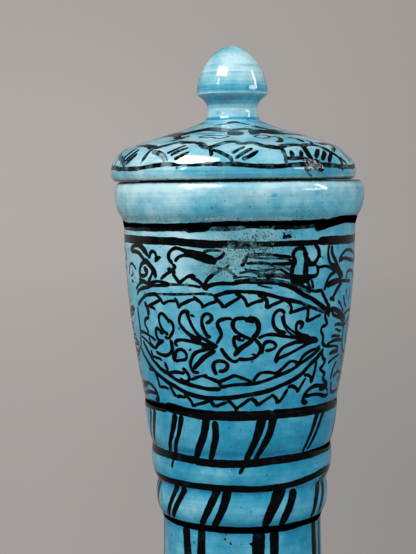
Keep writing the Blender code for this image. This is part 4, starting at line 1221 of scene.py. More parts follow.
def vase_profile():
    """The vase from the axis under the foot, up the outside, over the rim and down the inside."""
    rows = list(UNDER_FOOT)
    rows += foot_roll(12)[1:]
    rows += [vase_skin(height) for height in outside_heights()[1:]]
    rows += rim_roll(12)
    outside = len(rows)
    rows += [(radius, RIM_TOP + drop) for radius, drop in MOUTH_EDGE]
    rows += bowl_curve(WALL, 30)[::-1]
    fillet_top = FLOOR + FLOOR_FILLET
    inside_radius = FLARE_RADIUS - WALL
    rows += [point for point in flare_curve(WALL, 40)[::-1] if point[1] > fillet_top]
    rows += quarter((inside_radius, fillet_top), (inside_radius - FLOOR_FILLET, FLOOR), 8)
    rows += [(FLOOR_MIDDLE, FLOOR), (0.0, FLOOR)]
    profile = []
    for place, (radius, height) in enumerate(rows):
        profile.append((radius, height, vase_marks if place < outside else plain_marks))
    return profile


def lid_profile():
    """The lid from the axis under the dome, round the flange and the seat and up to the knob's tip."""
    rows = quarter(LID_HOLLOW_EDGE, LID_HOLLOW_TOP, 16)[::-1]
    rows += LID_FLANGE
    inside = len(rows)
    rows += LID_RUN
    profile = []
    for place, (radius, height) in enumerate(rows):
        profile.append((radius, height + LID_SEAT, lid_marks if place >= inside else plain_marks))
    return profile


def smooth_path(points, skin):
    """Places along a stroke through its points, at even steps over the surface, with their distances."""
    ends = [points[0]] + list(points) + [points[-1]]
    places = []
    for a, b, c, d in zip(ends, ends[1:], ends[2:], ends[3:]):
        radius = skin((b[1] + c[1]) / 2)[0]
        length = math.hypot(math.radians(c[0] - b[0]) * radius, c[1] - b[1])
        steps = max(2, math.ceil(length / STROKE_STEP))
        for step in range(steps):
            t = step / steps
            places.append(tuple(
                0.5 * (2 * b[i] + (c[i] - a[i]) * t + (2 * a[i] - 5 * b[i] + 4 * c[i] - d[i]) * t * t
                       + (3 * b[i] - a[i] - 3 * c[i] + d[i]) * t ** 3)
                for i in (0, 1)
            ))
    places.append(points[-1])
    return places


def skin_frame(skin, place):
    """Radius, height, slope and stretch of the surface at this place."""
    low = skin(place - SLOPE_STEP)
    high = skin(place + SLOPE_STEP)
    radius, height = skin(place)
    rise = Vector((high[0] - low[0], high[1] - low[1]))
    stretch = max(rise.length / (2 * SLOPE_STEP), LEAST_STRETCH)
    rise.normalize()
    return radius, height, rise, stretch


class StrokeSheet:
    """Gathers strokes into one mesh, with a place of its own on the bake sheet for each."""

    def __init__(self, skin, shift, marks_at, settings, breadth):
        self.skin = skin
        self.shift = shift
        self.marks_at = marks_at
        self.lift = settings.lift / MM
        self.waver = settings.waver
        self.breadth = breadth
        self.points = []
        self.normals = []
        self.faces = []
        self.sheet = []
        self.across = []
        self.load = []
        self.marks = []
        self.strips = []
        self.count = 0

    def lay_all(self, strokes, turn=0.0):
        """Lays strokes one after the other, turned round the axis."""
        for width, load, points in strokes:
            self.lay(width, load, points, turn)

    def lay(self, width, load, points, turn=0.0, mirror=None):
        """Lays one stroke, turned round the axis or mirrored about an angle."""
        first, last = width if isinstance(width, tuple) else (width, width)
        first = self.broadened(first)
        last = self.broadened(last)
        width = max(first, last)
        moved = []
        for angle, place in points:
            angle = 2 * mirror - angle if mirror is not None else angle
            moved.append((angle + turn, place))
        path = smooth_path(moved, self.skin)
        frames = [skin_frame(self.skin, place[1]) for place in path]
        travel = [0.0]
        for (a, b), before in zip(zip(path, path[1:]), frames):
            step = math.hypot(math.radians(b[0] - a[0]) * before[0], (b[1] - a[1]) * before[3])
            travel.append(travel[-1] + step)
        self.count += 1
        lanes = max(FEWEST_LANES, 2 * math.ceil(width / STROKE_CROSS_STEP / 2) + 1)
        layer = self.count * LAYER_SKIP % LAYER_COUNT
        lift = self.lift * (LOWEST_LAYER + LAYER_SPREAD * layer / (LAYER_COUNT - 1))
        rows = []
        for index, gone in enumerate(travel):
            wide = between(first, last, gone / travel[-1])
            half = wide / 2 * self.fullness(gone, travel[-1], wide)
            rows.append(self.row(index, path, frames, half, load, lanes, lift))
        self.join(rows, lanes, width, travel)

    def broadened(self, width):
        """Width of a stroke on the pot: fine strokes spread more than broad ones."""
        spread = self.breadth - 1
        return width * (1 + (spread if width < BROAD_WIDTH else spread * BROAD_SPREAD))

    def row(self, index, path, frames, half, load, lanes, lift):
        """One cross row of a stroke: points over its top and two sunk under its edges."""
        before = path[max(index - 1, 0)]
        after = path[min(index + 1, len(path) - 1)]
        radius, _, _, stretch = frames[index]
        ahead = Vector((math.radians(after[0] - before[0]) * radius, (after[1] - before[1]) * stretch))
        if ahead.length < 1e-9:
            ahead = Vector((1.0, 0.0))
        ahead.normalize()
        start = len(self.points)
        for lane in range(lanes):
            share = 2 * lane / (lanes - 1) - 1
            top = self.top(share, lift)
            self.add(path[index], ahead, radius, stretch, share * half, top, 1 - abs(share), load)
        for share in (1, -1):
            self.add(path[index], ahead, radius, stretch, share * half, -STROKE_SINK, 1.0, load)
        return list(range(start, len(self.points)))

    def fullness(self, gone, total, width):
        """Share of its full width that a stroke has here: round at its start, drawn out at its end."""
        head = min(1.0, gone / (HEAD_LENGTH * width) + END_SHARE)
        tail = min(1.0, (total - gone) / (TAIL_LENGTH * width) + END_SHARE)
        round_head = math.sqrt(max(0.0, 1 - (1 - head) ** 2))
        round_tail = math.sqrt(max(0.0, 1 - (1 - tail) ** 2))
        phase = self.count * SWAY_PHASE
        quick = math.sin(gone * QUICK_SWAY + phase * QUICK_PHASE)
        sway = math.sin(gone * SLOW_SWAY + phase) + QUICK_SHARE * quick
        steady = min(1.0, STEADY_WIDTH / width)
        wavering = 1 + self.waver * steady * sway / (1 + QUICK_SHARE)
        return max(THINNEST_SHARE, round_head * round_tail) * wavering

    def top(self, share, lift):
        """Height of the stroke's top over the surface: a low crown that dips under it at the edges."""
        return lift * (1 - EDGE_DIP * abs(share) ** EDGE_POWER)

    def add(self, place, ahead, radius, stretch, offset, lift, across, load):
        """Adds one point of a stroke."""
        turn = place[0] - math.degrees(ahead.y * offset / max(radius, 1.0))
        along = place[1] + ahead.x * offset / stretch
        here, height, rise, _ = skin_frame(self.skin, along)
        out = Vector((rise.y, -rise.x))
        angle = math.radians(turn)
        self.points.append(thrown(here + out.x * lift, turn, height + out.y * lift, self.shift))
        self.normals.append(Vector((out.x * math.sin(angle), -out.x * math.cos(angle), out.y)))
        self.across.append(across)
        self.load.append(load)
        self.marks.append(self.marks_at(turn, height))

    def join(self, rows, lanes, width, travel):
        """Faces between the rows of one stroke, closed at both ends."""
        strip = len(self.strips)
        self.strips.append((travel[-1], width))
        for place, (low, high) in enumerate(zip(rows, rows[1:])):
            for lane in range(lanes - 1):
                self.faces.append((low[lane], high[lane], high[lane + 1], low[lane + 1]))
                v0 = lane / (lanes - 1) * width
                v1 = (lane + 1) / (lanes - 1) * width
                u0 = travel[place]
                u1 = travel[place + 1]
                self.sheet.append((strip, ((u0, v0), (u1, v0), (u1, v1), (u0, v1))))
            right = lanes
            left = lanes + 1
            hidden = (
                (low[lanes - 1], high[lanes - 1], high[right], low[right]),
                (low[right], high[right], high[left], low[left]),
                (low[left], high[left], high[0], low[0]),
            )
            for face in hidden:
                self.faces.append(face)
                self.sheet.append((None, None))
        self.faces.append(tuple(rows[0]))
        self.sheet.append((None, None))
        self.faces.append(tuple(reversed(rows[-1])))
        self.sheet.append((None, None))

    def packed(self):
        """Corner of each strip on the bake sheet and the sheet's size, in rows of like width."""
        margin = SHEET_MARGIN
        area = sum((length + margin) * (width + margin) for length, width in self.strips)
        longest = max(length for length, width in self.strips)
        side = max(math.sqrt(area) * SHEET_SLACK, longest + margin)
        order = sorted(range(len(self.strips)), key=lambda strip: -self.strips[strip][1])
        corners = {}
        x = margin
        y = margin
        tall = 0.0
        for strip in order:
            length, width = self.strips[strip]
            if x + length + margin > side:
                x = margin
                y += tall + margin
                tall = 0.0
            corners[strip] = (x, y)
            x += length + margin
            tall = max(tall, width)
        return corners, max(side, y + tall + 2 * margin)

    def piece(self, name, body, material):
        """The strokes as one piece."""
        made = new_object(name, self.points, self.faces, self.marks, body, material)
        mesh = made.data
        for label, values in (("across", self.across), ("load", self.load)):
            store = mesh.attributes.new(label, "FLOAT", "POINT")
            store.data.foreach_set("value", values)
        corners, side = self.packed()
        layer = mesh.uv_layers.new(name="OFBake")
        for polygon, (strip, spots) in zip(mesh.polygons, self.sheet):
            for corner, loop in enumerate(polygon.loop_indices):
                if strip is None:
                    angle = math.tau * corner / polygon.loop_total
                    u = HIDDEN_SPOT + HIDDEN_REACH * math.cos(angle)
                    v = HIDDEN_SPOT + HIDDEN_REACH * math.sin(angle)
                else:
                    u = (corners[strip][0] + spots[corner][0]) / side
                    v = (corners[strip][1] + spots[corner][1]) / side
                layer.data[loop].uv = (u, v)
        mesh.normals_split_custom_set_from_vertices(self.normals)
        return made


def node(tree, kind, place, **values):
    """A node with its properties and inputs set."""
    made = tree.nodes.new(kind)
    made.location = place
    for label, value in values.items():
        setattr(made, label, value)
    return made


def maths(tree, operation, first, second, place):
    """A Math node on two sockets or numbers; gives its output."""
    made = node(tree, "ShaderNodeMath", place, operation=operation)
    for socket, value in zip(made.inputs, (first, second)):
        if isinstance(value, bpy.types.NodeSocket):
            tree.links.new(value, socket)
        else:
            socket.default_value = value
    return made.outputs[0]


def remap(tree, value, low, high, to_low, to_high, place):
    """A smooth Map Range; gives its output."""
    made = node(tree, "ShaderNodeMapRange", place, interpolation_type="SMOOTHSTEP")
    tree.links.new(value, made.inputs["Value"])
    made.inputs["From Min"].default_value = low
    made.inputs["From Max"].default_value = high
    made.inputs["To Min"].default_value = to_low
    made.inputs["To Max"].default_value = to_high
    return made.outputs["Result"]


def noise(tree, vector, scale, detail, roughness, place):
    """A Noise texture; gives its value."""
    made = node(tree, "ShaderNodeTexNoise", place)
    tree.links.new(vector, made.inputs["Vector"])
    made.inputs["Scale"].default_value = scale
    made.inputs["Detail"].default_value = detail
    made.inputs["Roughness"].default_value = roughness
    return made.outputs["Fac"]


def mix_colour(tree, share, first, second, place):
    """A Mix node on colours; gives its output."""
    made = node(tree, "ShaderNodeMix", place, data_type="RGBA")
    for socket, value in ((made.inputs[0], share), (made.inputs[6], first), (made.inputs[7], second)):
        if isinstance(value, bpy.types.NodeSocket):
            tree.links.new(value, socket)
        else:
            socket.default_value = value
    return made.outputs[2]


def rgba(colour):
    """A colour with full alpha."""
    return (colour[0], colour[1], colour[2], 1.0)


def stretched(tree, vector, stretch, place):
    """The vector with its axes stretched."""
    made = node(tree, "ShaderNodeVectorMath", place, operation="MULTIPLY")
    tree.links.new(vector, made.inputs[0])
    made.inputs[1].default_value = stretch
    return made.outputs[0]


def new_group(name, inputs, outputs):
    """A node group with its sockets; gives its tree and the nodes at both ends."""
    tree = bpy.data.node_groups.new(name, "ShaderNodeTree")
    for way, sockets in (("INPUT", inputs), ("OUTPUT", outputs)):
        for label, kind in sockets:
            tree.interface.new_socket(label, in_out=way, socket_type=kind)
    return tree, node(tree, "NodeGroupInput", (-1700, 0)), node(tree, "NodeGroupOutput", (900, 0))


def new_material(name):
    """A new material; gives it with its node tree and its shader."""
    material = bpy.data.materials.new(name)
    material.use_nodes = True
    tree = material.node_tree
    return material, tree, tree.nodes["Principled BSDF"]


def roughened(tree, shader, height, strength, relief, place):
    """Gives a shader's surface a relief of this depth in metres."""
    bump = node(tree, "ShaderNodeBump", place)
    bump.inputs["Strength"].default_value = strength
    bump.inputs["Distance"].default_value = relief
    tree.links.new(height, bump.inputs["Height"])
    tree.links.new(bump.outputs[0], shader.inputs["Normal"])


# Kinds of sockets
VALUE = "NodeSocketFloat"
VECTOR = "NodeSocketVector"
COLOUR = "NodeSocketColor"

# Glaze: how strongly it mirrors, how its relief shows, and the depth of the relief in metres
GLAZE_IOR = 1.54
GLAZE_BUMP = 0.5
GLAZE_RELIEF = 0.00022
PAINT_SHINE = 0.22

# Bare clay: its light and dark grains against its colour, how its relief shows, and the relief's depth
CLAY_LIGHT = 1.25
CLAY_DARK = 0.62
CLAY_BUMP = 0.6
CLAY_RELIEF = 0.0002

# Where the glaze's colours lie between thick and thin
DEEP_AT = 0.06
MIDDLE_AT = 0.36
VIVID_AT = 0.53
LIGHT_AT = 0.68
MILKY_AT = 1.0

# Two sizes of specks: cells to the metre, size in a cell, share of cells without one, and strength
SPECK_SIZES = ((170.0, 0.20, 0.68, 0.9), (390.0, 0.27, 0.60, 0.8))


def glaze_group(settings):
    """The turquoise glaze: colour, roughness and surface height from a place and the glaze's marks there."""
    inputs = [("Place", VECTOR)] + [(label, VALUE) for label in MARK_LABELS]
    outputs = (("Colour", COLOUR), ("Roughness", VALUE), ("Height", VALUE))
    tree, given, given_back = new_group("Turquoise glaze", inputs, outputs)
    place = given.outputs["Place"]
    stain = given.outputs["Stain"]
    clouds = noise(tree, place, 30.0, 3.0, 0.55, (-1200, 300))
    cloud_shift = remap(tree, clouds, 0.3, 0.7, -0.12, 0.11, (-1000, 300))
    patches = noise(tree, place, 110.0, 4.0, 0.62, (-1200, 80))
    patch_shift = remap(tree, patches, 0.3, 0.72, -0.10, 0.11, (-1000, 80))
    wheel_place = stretched(tree, place, (0.35, 0.35, 22.0), (-1300, -150))
    wheel = noise(tree, wheel_place, 34.0, 5.0, 0.66, (-1200, -150))
    wheel_shift = remap(tree, wheel, 0.3, 0.7, -0.26, 0.22, (-1000, -150))
    wheel_shift = maths(tree, "MULTIPLY", wheel_shift, given.outputs["Wheel"], (-850, -150))
    thin = maths(tree, "ADD", given.outputs["Thinness"], cloud_shift, (-800, 200))
    thin = maths(tree, "ADD", thin, patch_shift, (-650, 200))
    thin = maths(tree, "ADD", thin, wheel_shift, (-500, 200))
    ramp = node(tree, "ShaderNodeValToRGB", (-350, 200))
    stops = ramp.color_ramp.elements
    stops[0].position = DEEP_AT
    stops[0].color = rgba(settings.deep)
    stops[1].position = MILKY_AT
    stops[1].color = rgba(settings.milky)
    between_stops = ((MIDDLE_AT, settings.middle), (VIVID_AT, settings.vivid), (LIGHT_AT, settings.light))
    for position, colour in between_stops:
        stops.new(position).color = rgba(colour)
    tree.links.new(thin, ramp.inputs[0])
    colour = ramp.outputs[0]
    speckled = remap(tree, given.outputs["Thinness"], 0.82, 0.90, 1.0, 0.0, (-1000, -300))
    for row, (scale, size, share, strength) in enumerate(SPECK_SIZES):
        level = -400 - 360 * row
        cells = node(tree, "ShaderNodeTexVoronoi", (-1200, level))
        tree.links.new(place, cells.inputs["Vector"])
        cells.inputs["Scale"].default_value = scale
        dots = remap(tree, cells.outputs["Distance"], 0.05, size, 1.0, 0.0, (-1000, level))
        chance = node(tree, "ShaderNodeSeparateColor", (-1000, level - 160))
        tree.links.new(cells.outputs["Color"], chance.inputs[0])
        chosen = remap(tree, chance.outputs[0], share, share + 0.16, 0.0, strength, (-800, level - 160))
        dots = maths(tree, "MULTIPLY", dots, speckled, (-800, level))
        specks = maths(tree, "MULTIPLY", dots, chosen, (-600, level))
        colour = mix_colour(tree, specks, colour, rgba(settings.speck), (-50 + 180 * row, level + 500))
        faint = strength * 0.2
        pale = remap(tree, chance.outputs[1], share + 0.06, share + 0.2, 0.0, faint, (-800, level - 260))
        pale_specks = maths(tree, "MULTIPLY", dots, pale, (-600, level - 120))
        colour = mix_colour(tree, pale_specks, colour, rgba(settings.milky), (-50 + 180 * row, level + 300))
    smear_noise = noise(tree, place, 240.0, 4.0, 0.6, (-300, -900))
    smear = remap(tree, smear_noise, 0.32, 0.62, 0.15, 0.85, (-100, -900))
    smear = maths(tree, "MULTIPLY", smear, stain, (80, -900))
    colour = mix_colour(tree, smear, colour, rgba(settings.smear), (420, 100))
    grit_noise = noise(tree, place, 1400.0, 3.0, 0.6, (-300, -1150))
    grit_more = maths(tree, "MULTIPLY", stain, 0.22, (-300, -1300))
    grit_level = maths(tree, "ADD", grit_noise, grit_more, (-100, -1150))
    grit = remap(tree, grit_level, 0.67, 0.80, 0.0, 1.0, (80, -1150))
    gritty = remap(tree, stain, 0.05, 0.5, 0.0, 1.0, (80, -1300))
    grit = maths(tree, "MULTIPLY", grit, gritty, (260, -1150))
    # Stain past 1 is painted shade and dirt in the seam under the lid, mixed towards the paint's black
    seam_dirt_and_shade = remap(tree, stain, 1.0, 1.5, 0.0, 0.95, (80, -1450))
    grit = maths(tree, "MAXIMUM", grit, seam_dirt_and_shade, (420, -1150))
    colour = mix_colour(tree, grit, colour, rgba(settings.paint), (600, 100))
    tree.links.new(colour, given_back.inputs["Colour"])
    rough = remap(tree, patches, 0.3, 0.7, 0.04, 0.10, (250, -150))
    rougher = maths(tree, "MULTIPLY", stain, 0.03, (250, -300))
    rough = maths(tree, "ADD", rough, rougher, (450, -150))
    tree.links.new(rough, given_back.inputs["Roughness"])
    ripple = noise(tree, place, 120.0, 2.0, 0.5, (-300, -350))
    ring_place = stretched(tree, place, (0.3, 0.3, 6.0), (-500, -550))
    rings = noise(tree, ring_place, 55.0, 1.0, 0.4, (-300, -550))
    rings = maths(tree, "MULTIPLY", rings, given.outputs["Wheel"], (-100, -550))
    height = maths(tree, "ADD", ripple, rings, (150, -400))
    pit_noise = noise(tree, place, 760.0, 0.0, 0.5, (-100, -700))
    pit_depth = maths(tree, "MULTIPLY", stain, 2.4, (150, -600))
    pits = maths(tree, "MULTIPLY", pit_noise, pit_depth, (300, -600))
    height = maths(tree, "SUBTRACT", height, pits, (450, -450))
    tree.links.new(height, given_back.inputs["Height"])
    return tree


def brush_group():
    """Where brush paint covers: full in the stroke's middle, ragged at its edges, broken where it is thin."""
    inputs = (("Across", VALUE), ("Load", VALUE), ("Place", VECTOR))
    tree, given, given_back = new_group("Brush cover", inputs, (("Cover", VALUE), ("Depth", VALUE)))
    grain = noise(tree, given.outputs["Place"], 900.0, 3.0, 0.65, (-700, 200))
    edge = remap(tree, given.outputs["Across"], 0.0, 0.32, 0.0, 1.0, (-700, -50))
    rag = maths(tree, "MULTIPLY", grain, 0.5, (-500, 200))
    ragged = maths(tree, "ADD", edge, rag, (-350, 50))
    edge_cover = remap(tree, ragged, 0.42, 0.68, 0.0, 1.0, (-200, 50))
    patches = noise(tree, given.outputs["Place"], 210.0, 4.0, 0.65, (-700, -250))
    uneven = remap(tree, patches, 0.3, 0.7, -0.24, 0.16, (-500, -250))
    loaded = maths(tree, "ADD", given.outputs["Load"], uneven, (-300, -200))
    depth = remap(tree, loaded, 0.30, 0.90, 0.0, 1.0, (-150, -200))
    dense = remap(tree, loaded, 0.2, 0.8, 0.12, 1.0, (-150, -380))
    cover = maths(tree, "MULTIPLY", edge_cover, dense, (50, 0))
    tree.links.new(cover, given_back.inputs["Cover"])
    tree.links.new(depth, given_back.inputs["Depth"])
    return tree


def read_value(tree, label, place):
    """Value of a named attribute of the mesh."""
    made = node(tree, "ShaderNodeAttribute", place, attribute_name=label)
    return made.outputs["Fac"]


def glossy_material(name):
    """A material with a shader, the place on the piece and the glaze under it."""
    material, tree, shader = new_material(name)
    shader.inputs["IOR"].default_value = GLAZE_IOR
    place = node(tree, "ShaderNodeTexCoord", (-1100, 0)).outputs["Object"]
    glaze = node(tree, "ShaderNodeGroup", (-800, 100))
    glaze.node_tree = bpy.data.node_groups["Turquoise glaze"]
    tree.links.new(place, glaze.inputs["Place"])
    for row, label in enumerate(MARK_LABELS):
        value = read_value(tree, label.lower(), (-1100, 250 + 170 * row))
        tree.links.new(value, glaze.inputs[label])
    roughened(tree, shader, glaze.outputs["Height"], GLAZE_BUMP, GLAZE_RELIEF, (-300, -300))
    tree.links.new(glaze.outputs["Roughness"], shader.inputs["Roughness"])
    tree.links.new(glaze.outputs["Colour"], shader.inputs["Base Color"])
    return material, place, glaze.outputs["Colour"], shader


def glaze_material(name):
    """Bare glaze."""
    return glossy_material(name)[0]


def brush_material(settings):
    """Black brush paint under the same glaze."""
    material, place, colour, shader = glossy_material("black_brushwork")
    tree = material.node_tree
    cover = node(tree, "ShaderNodeGroup", (-800, -250))
    cover.node_tree = bpy.data.node_groups["Brush cover"]
    tree.links.new(place, cover.inputs["Place"])
    for row, label in enumerate(("Across", "Load")):
        value = read_value(tree, label.lower(), (-1100, -250 - 180 * row))
        tree.links.new(value, cover.inputs[label])
    shader.inputs["Specular IOR Level"].default_value = PAINT_SHINE
    paint = mix_colour(tree, cover.outputs["Depth"], rgba(settings.wash), rgba(settings.paint), (-500, -100))
    seen = mix_colour(tree, cover.outputs["Cover"], colour, paint, (-300, 50))
    tree.links.new(seen, shader.inputs["Base Color"])
    return material


def clay_material(settings):
    """Unglazed fired clay with sandy grains."""
    material, tree, shader = new_material("bare_clay")
    place = node(tree, "ShaderNodeTexCoord", (-1000, 0)).outputs["Object"]
    grains = noise(tree, place, 900.0, 5.0, 0.7, (-800, 0))
    stains = noise(tree, place, 60.0, 3.0, 0.6, (-800, -250))
    light = [min(1.0, value * CLAY_LIGHT) for value in settings.clay]
    dark = [value * CLAY_DARK for value in settings.clay]
    sandy = mix_colour(tree, grains, rgba(dark), rgba(light), (-500, 0))
    dirty = remap(tree, stains, 0.45, 0.75, 0.0, 0.5, (-600, -250))
    clay = mix_colour(tree, dirty, sandy, rgba(dark), (-300, 0))
    tree.links.new(clay, shader.inputs["Base Color"])
    rough = remap(tree, grains, 0.3, 0.7, 0.7, 0.92, (-500, -400))
    tree.links.new(rough, shader.inputs["Roughness"])
    roughened(tree, shader, grains, CLAY_BUMP, CLAY_RELIEF, (-300, -400))
    return material


class VASE_OT_finishes(bpy.types.Operator):
    """Makes the glaze, the brush paint and the bare clay"""

    bl_idname = "vase.finishes"
    bl_label = "Finishes"

    def execute(self, context):
        settings = context.scene.vase_glaze_settings
        glaze_group(settings)
        brush_group()
        glaze_material("vase_glaze_fine")
        glaze_material("lid_glaze_fine")
        brush_material(settings)
        clay_material(settings)
        return {"FINISHED"}


class VASE_OT_body(bpy.types.Operator):
    """Turns the vase's glazed body and the bare ring that it stands on"""

    bl_idname = "vase.body"
    bl_label = "Vase body"

    def execute(self, context):
        materials = bpy.data.materials
        glaze = materials["vase_glaze_fine"]
        body = turned("vase_glazed_body", vase_profile(), 0.0, "vase", glaze)
        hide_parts("vase_body")
        bare_ring(FOOT_RING, materials["bare_clay"])
        return {"FINISHED"}


def ring_faces(turns, count, closed):
    """Faces between the turned copies of a section of so many points, closed or open."""
    faces = []
    for step in range(turns):
        here = step * count
        there = (step + 1) % turns * count
        for corner in range(count if closed else count - 1):
            beside = (corner + 1) % count
            faces.append((here + corner, there + corner, there + beside, here + beside))
    return faces


def bare_ring(section, material):
    """The unglazed foot ring, from its section."""
    points = []
    for step in range(ROUND_STEPS):
        for radius, height in section:
            points.append(thrown(radius, 360 * step / ROUND_STEPS, height, 0.0))
    faces = ring_faces(ROUND_STEPS, len(section), True)
    marks = [BARE_MARKS] * len(points)
    return new_object("foot_ring_clay", points, faces, marks, "vase", material)


class VASE_OT_lid(bpy.types.Operator):
    """Turns the glazed lid with its knob and flange"""

    bl_idname = "vase.lid"
    bl_label = "Lid"

    def execute(self, context):
        material = bpy.data.materials["lid_glaze_fine"]
        lid = turned("lid_glazed", lid_profile(), LID_SHIFT, "lid", material)
        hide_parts("lid")
        return {"FINISHED"}


def vase_sheet(context):
    """An empty sheet of strokes for the vase."""
    settings = context.scene.vase_brush_settings
    return StrokeSheet(vase_skin, 0.0, vase_marks, settings, settings.breadth)


class VASE_OT_bowl_brushwork(bpy.types.Operator):
    """Paints the medallion, the flowers, the scrolls and the side fans on both faces of the bowl"""

    bl_idname = "vase.bowl_brushwork"
    bl_label = "Bowl brushwork"

    def execute(self, context):
        medallion = (
            FRAME_STROKES, TOOTH_STROKES, LEFT_FLOWER_STROKES, LEFT_LEAF_STROKES, MIDDLE_FLOWER_STROKES,
            RIGHT_LEAF_STROKES, DIVIDER_STROKES,
        )
        material = bpy.data.materials["black_brushwork"]
        for name, groups in (("bowl_medallions", medallion), ("bowl_scrolls", (SCROLL_STROKES,))):
            sheet = vase_sheet(context)
            for turn in FACES:
                for group in groups:
                    sheet.lay_all(group, turn)
            sheet.piece(name, "vase", material)
        sheet = vase_sheet(context)
        for turn in FACES:
            for width, load, points in FAN_STROKES:
                sheet.lay(width, load, points, turn)
                sheet.lay(width, load, points, turn, FAN_MIDDLE)
        sheet.piece("bowl_fans", "vase", material)
        return {"FINISHED"}


class VASE_OT_line_brushwork(bpy.types.Operator):
    """Paints the lines round the vase, the slanted pairs and the upright pairs"""

    bl_idname = "vase.line_brushwork"
    bl_label = "Line brushwork"

    def execute(self, context):
        material = bpy.data.materials["black_brushwork"]
        sheet = vase_sheet(context)
        for turn in FACES:
            sheet.lay_all(RING_LINE_STROKES, turn)
            for angle, height, width in WORN_SPECKS:
                end = (angle + SPECK_LENGTH, height + SPECK_RISE)
                sheet.lay(width, FULL, ((angle, height), end), turn)
        sheet.piece("ring_lines", "vase", material)
        sheet = vase_sheet(context)
        for turn in FACES:
            sheet.lay_all(SLANT_STROKES, turn)
        sheet.lay_all(STEM_STROKES)
        for turn in STEM_TURNS:
            sheet.lay_all(STEM_REPEAT, turn)
        for pair in range(FOOT_PAIRS):
            sheet.lay_all(FOOT_STROKES, 360 * pair / FOOT_PAIRS)
        sheet.piece("stroke_pairs", "vase", material)
        return {"FINISHED"}


class VASE_OT_lid_brushwork(bpy.types.Operator):
    """Paints the rim line, the arches and the short strokes on the lid"""

    bl_idname = "vase.lid_brushwork"
    bl_label = "Lid brushwork"

    def execute(self, context):
        settings = context.scene.vase_brush_settings
        sheet = StrokeSheet(lid_skin, LID_SHIFT, lid_marks, settings, settings.lid_breadth)
        for repeat in range(LID_REPEATS):
            sheet.lay_all(LID_STROKES, 360 * repeat / LID_REPEATS)
        sheet.lay_all(LID_FRONT_STROKES)
        for turn in LID_BACK_TURNS:
            sheet.lay_all(LID_BACK_STROKES, turn)
        for turn in LID_RING_TURNS:
            sheet.lay_all(LID_RING_STROKES, turn)
        sheet.piece("lid_brushwork", "lid", bpy.data.materials["black_brushwork"])
        return {"FINISHED"}


# Colours of the lamps
WARM_LIGHT = (1.0, 0.98, 0.95)
MILD_LIGHT = (1.0, 0.99, 0.97)
WHITE_LIGHT = (1.0, 1.0, 1.0)

# Lamps that the glaze mirrors: name, angles round and up, distance, width, height, power, share of it, colour
MIRRORED_LAMPS = (
    ("left_softbox", -42, 47, 1.2, 0.69, 0.39, "key_power", 1.0, WARM_LIGHT),
    ("left_strip", -47, 26, 1.2, 0.10, 0.22, "side_power", 0.3, WARM_LIGHT),
    ("right_strip", 84, 25, 1.3, 0.12, 0.62, "side_power", 1.0, MILD_LIGHT),
    ("right_softbox", 68, 14, 1.3, 0.50, 0.16, "side_power", 0.6, MILD_LIGHT),
)

# Wide lamps that the glaze doesn't mirror
FILL_LAMPS = (
    ("front_light", -12, 12, 1.7, 1.5, 1.5, "fill_power", 1.0, WHITE_LIGHT),
    ("right_fill", 66, 14, 1.6, 1.0, 1.2, "far_power", 1.0, WHITE_LIGHT),
    ("back_light", 180, 26, 1.8, 1.5, 1.5, "back_power", 1.0, WHITE_LIGHT),
)

# Where all lamps aim, and the colour of the even light all round
LAMP_TARGET = Vector((0.0, 0.0, 0.32))
ROOM_COLOUR = (0.96, 0.98, 1.0, 1.0)

# Camera: focal length, picture height and aim off the middle in pixels, then its roll and its place
SENSOR_HEIGHT = 36.0
FOCAL_PIXELS = 1350
PICTURE_PIXELS = 554
AIM_BELOW = 96
AIM_LEFT = 32
CAMERA_ROLL = math.radians(0.62)
CAMERA_PLACE = (0.0, -0.708, 0.340)
CLIP_START = 0.01

# Floor just under the vase, the curve from it up into the backdrop, and the backdrop's upper edge
FLOOR_LEVEL = -0.0006
FLOOR_RADII = (0.001, 0.4, 0.9, 1.5, 2.2)
SWEEP_RADIUS = 0.9
SWEEP_STEPS = 20
BACKDROP_RADIUS = 3.1
BACKDROP_TOP = 3.4
STAGE_STEPS = 96

# Paper: from the near to the far distance its own shading gives way to a glow with painted light and shade
PAPER_NEAR = 0.25
PAPER_FAR = 0.5
PAPER_ROUGHNESS = 0.9
PAPER_SHINE = 0.1
FIBRE_SHADE = 0.97

# Painted light and shade of the paper's glow: half its width at the vase, how it widens with distance, and
# its shade low down
TONE_HALF_WIDTH = 0.12
TONE_WIDENING = 0.16
LOW_LEFT_SHADE = 0.84
LOW_RIGHT_SHADE = 0.80

# Share of the paper that the glaze doesn't mirror: all in front of the vase, this much behind it
UNMIRRORED_BEHIND = 0.42


def mix_shaders(tree, share, first, second, place):
    """A Mix Shader node on two shader nodes."""
    made = node(tree, "ShaderNodeMixShader", place)
    tree.links.new(share, made.inputs[0])
    tree.links.new(first.outputs[0], made.inputs[1])
    tree.links.new(second.outputs[0], made.inputs[2])
    return made


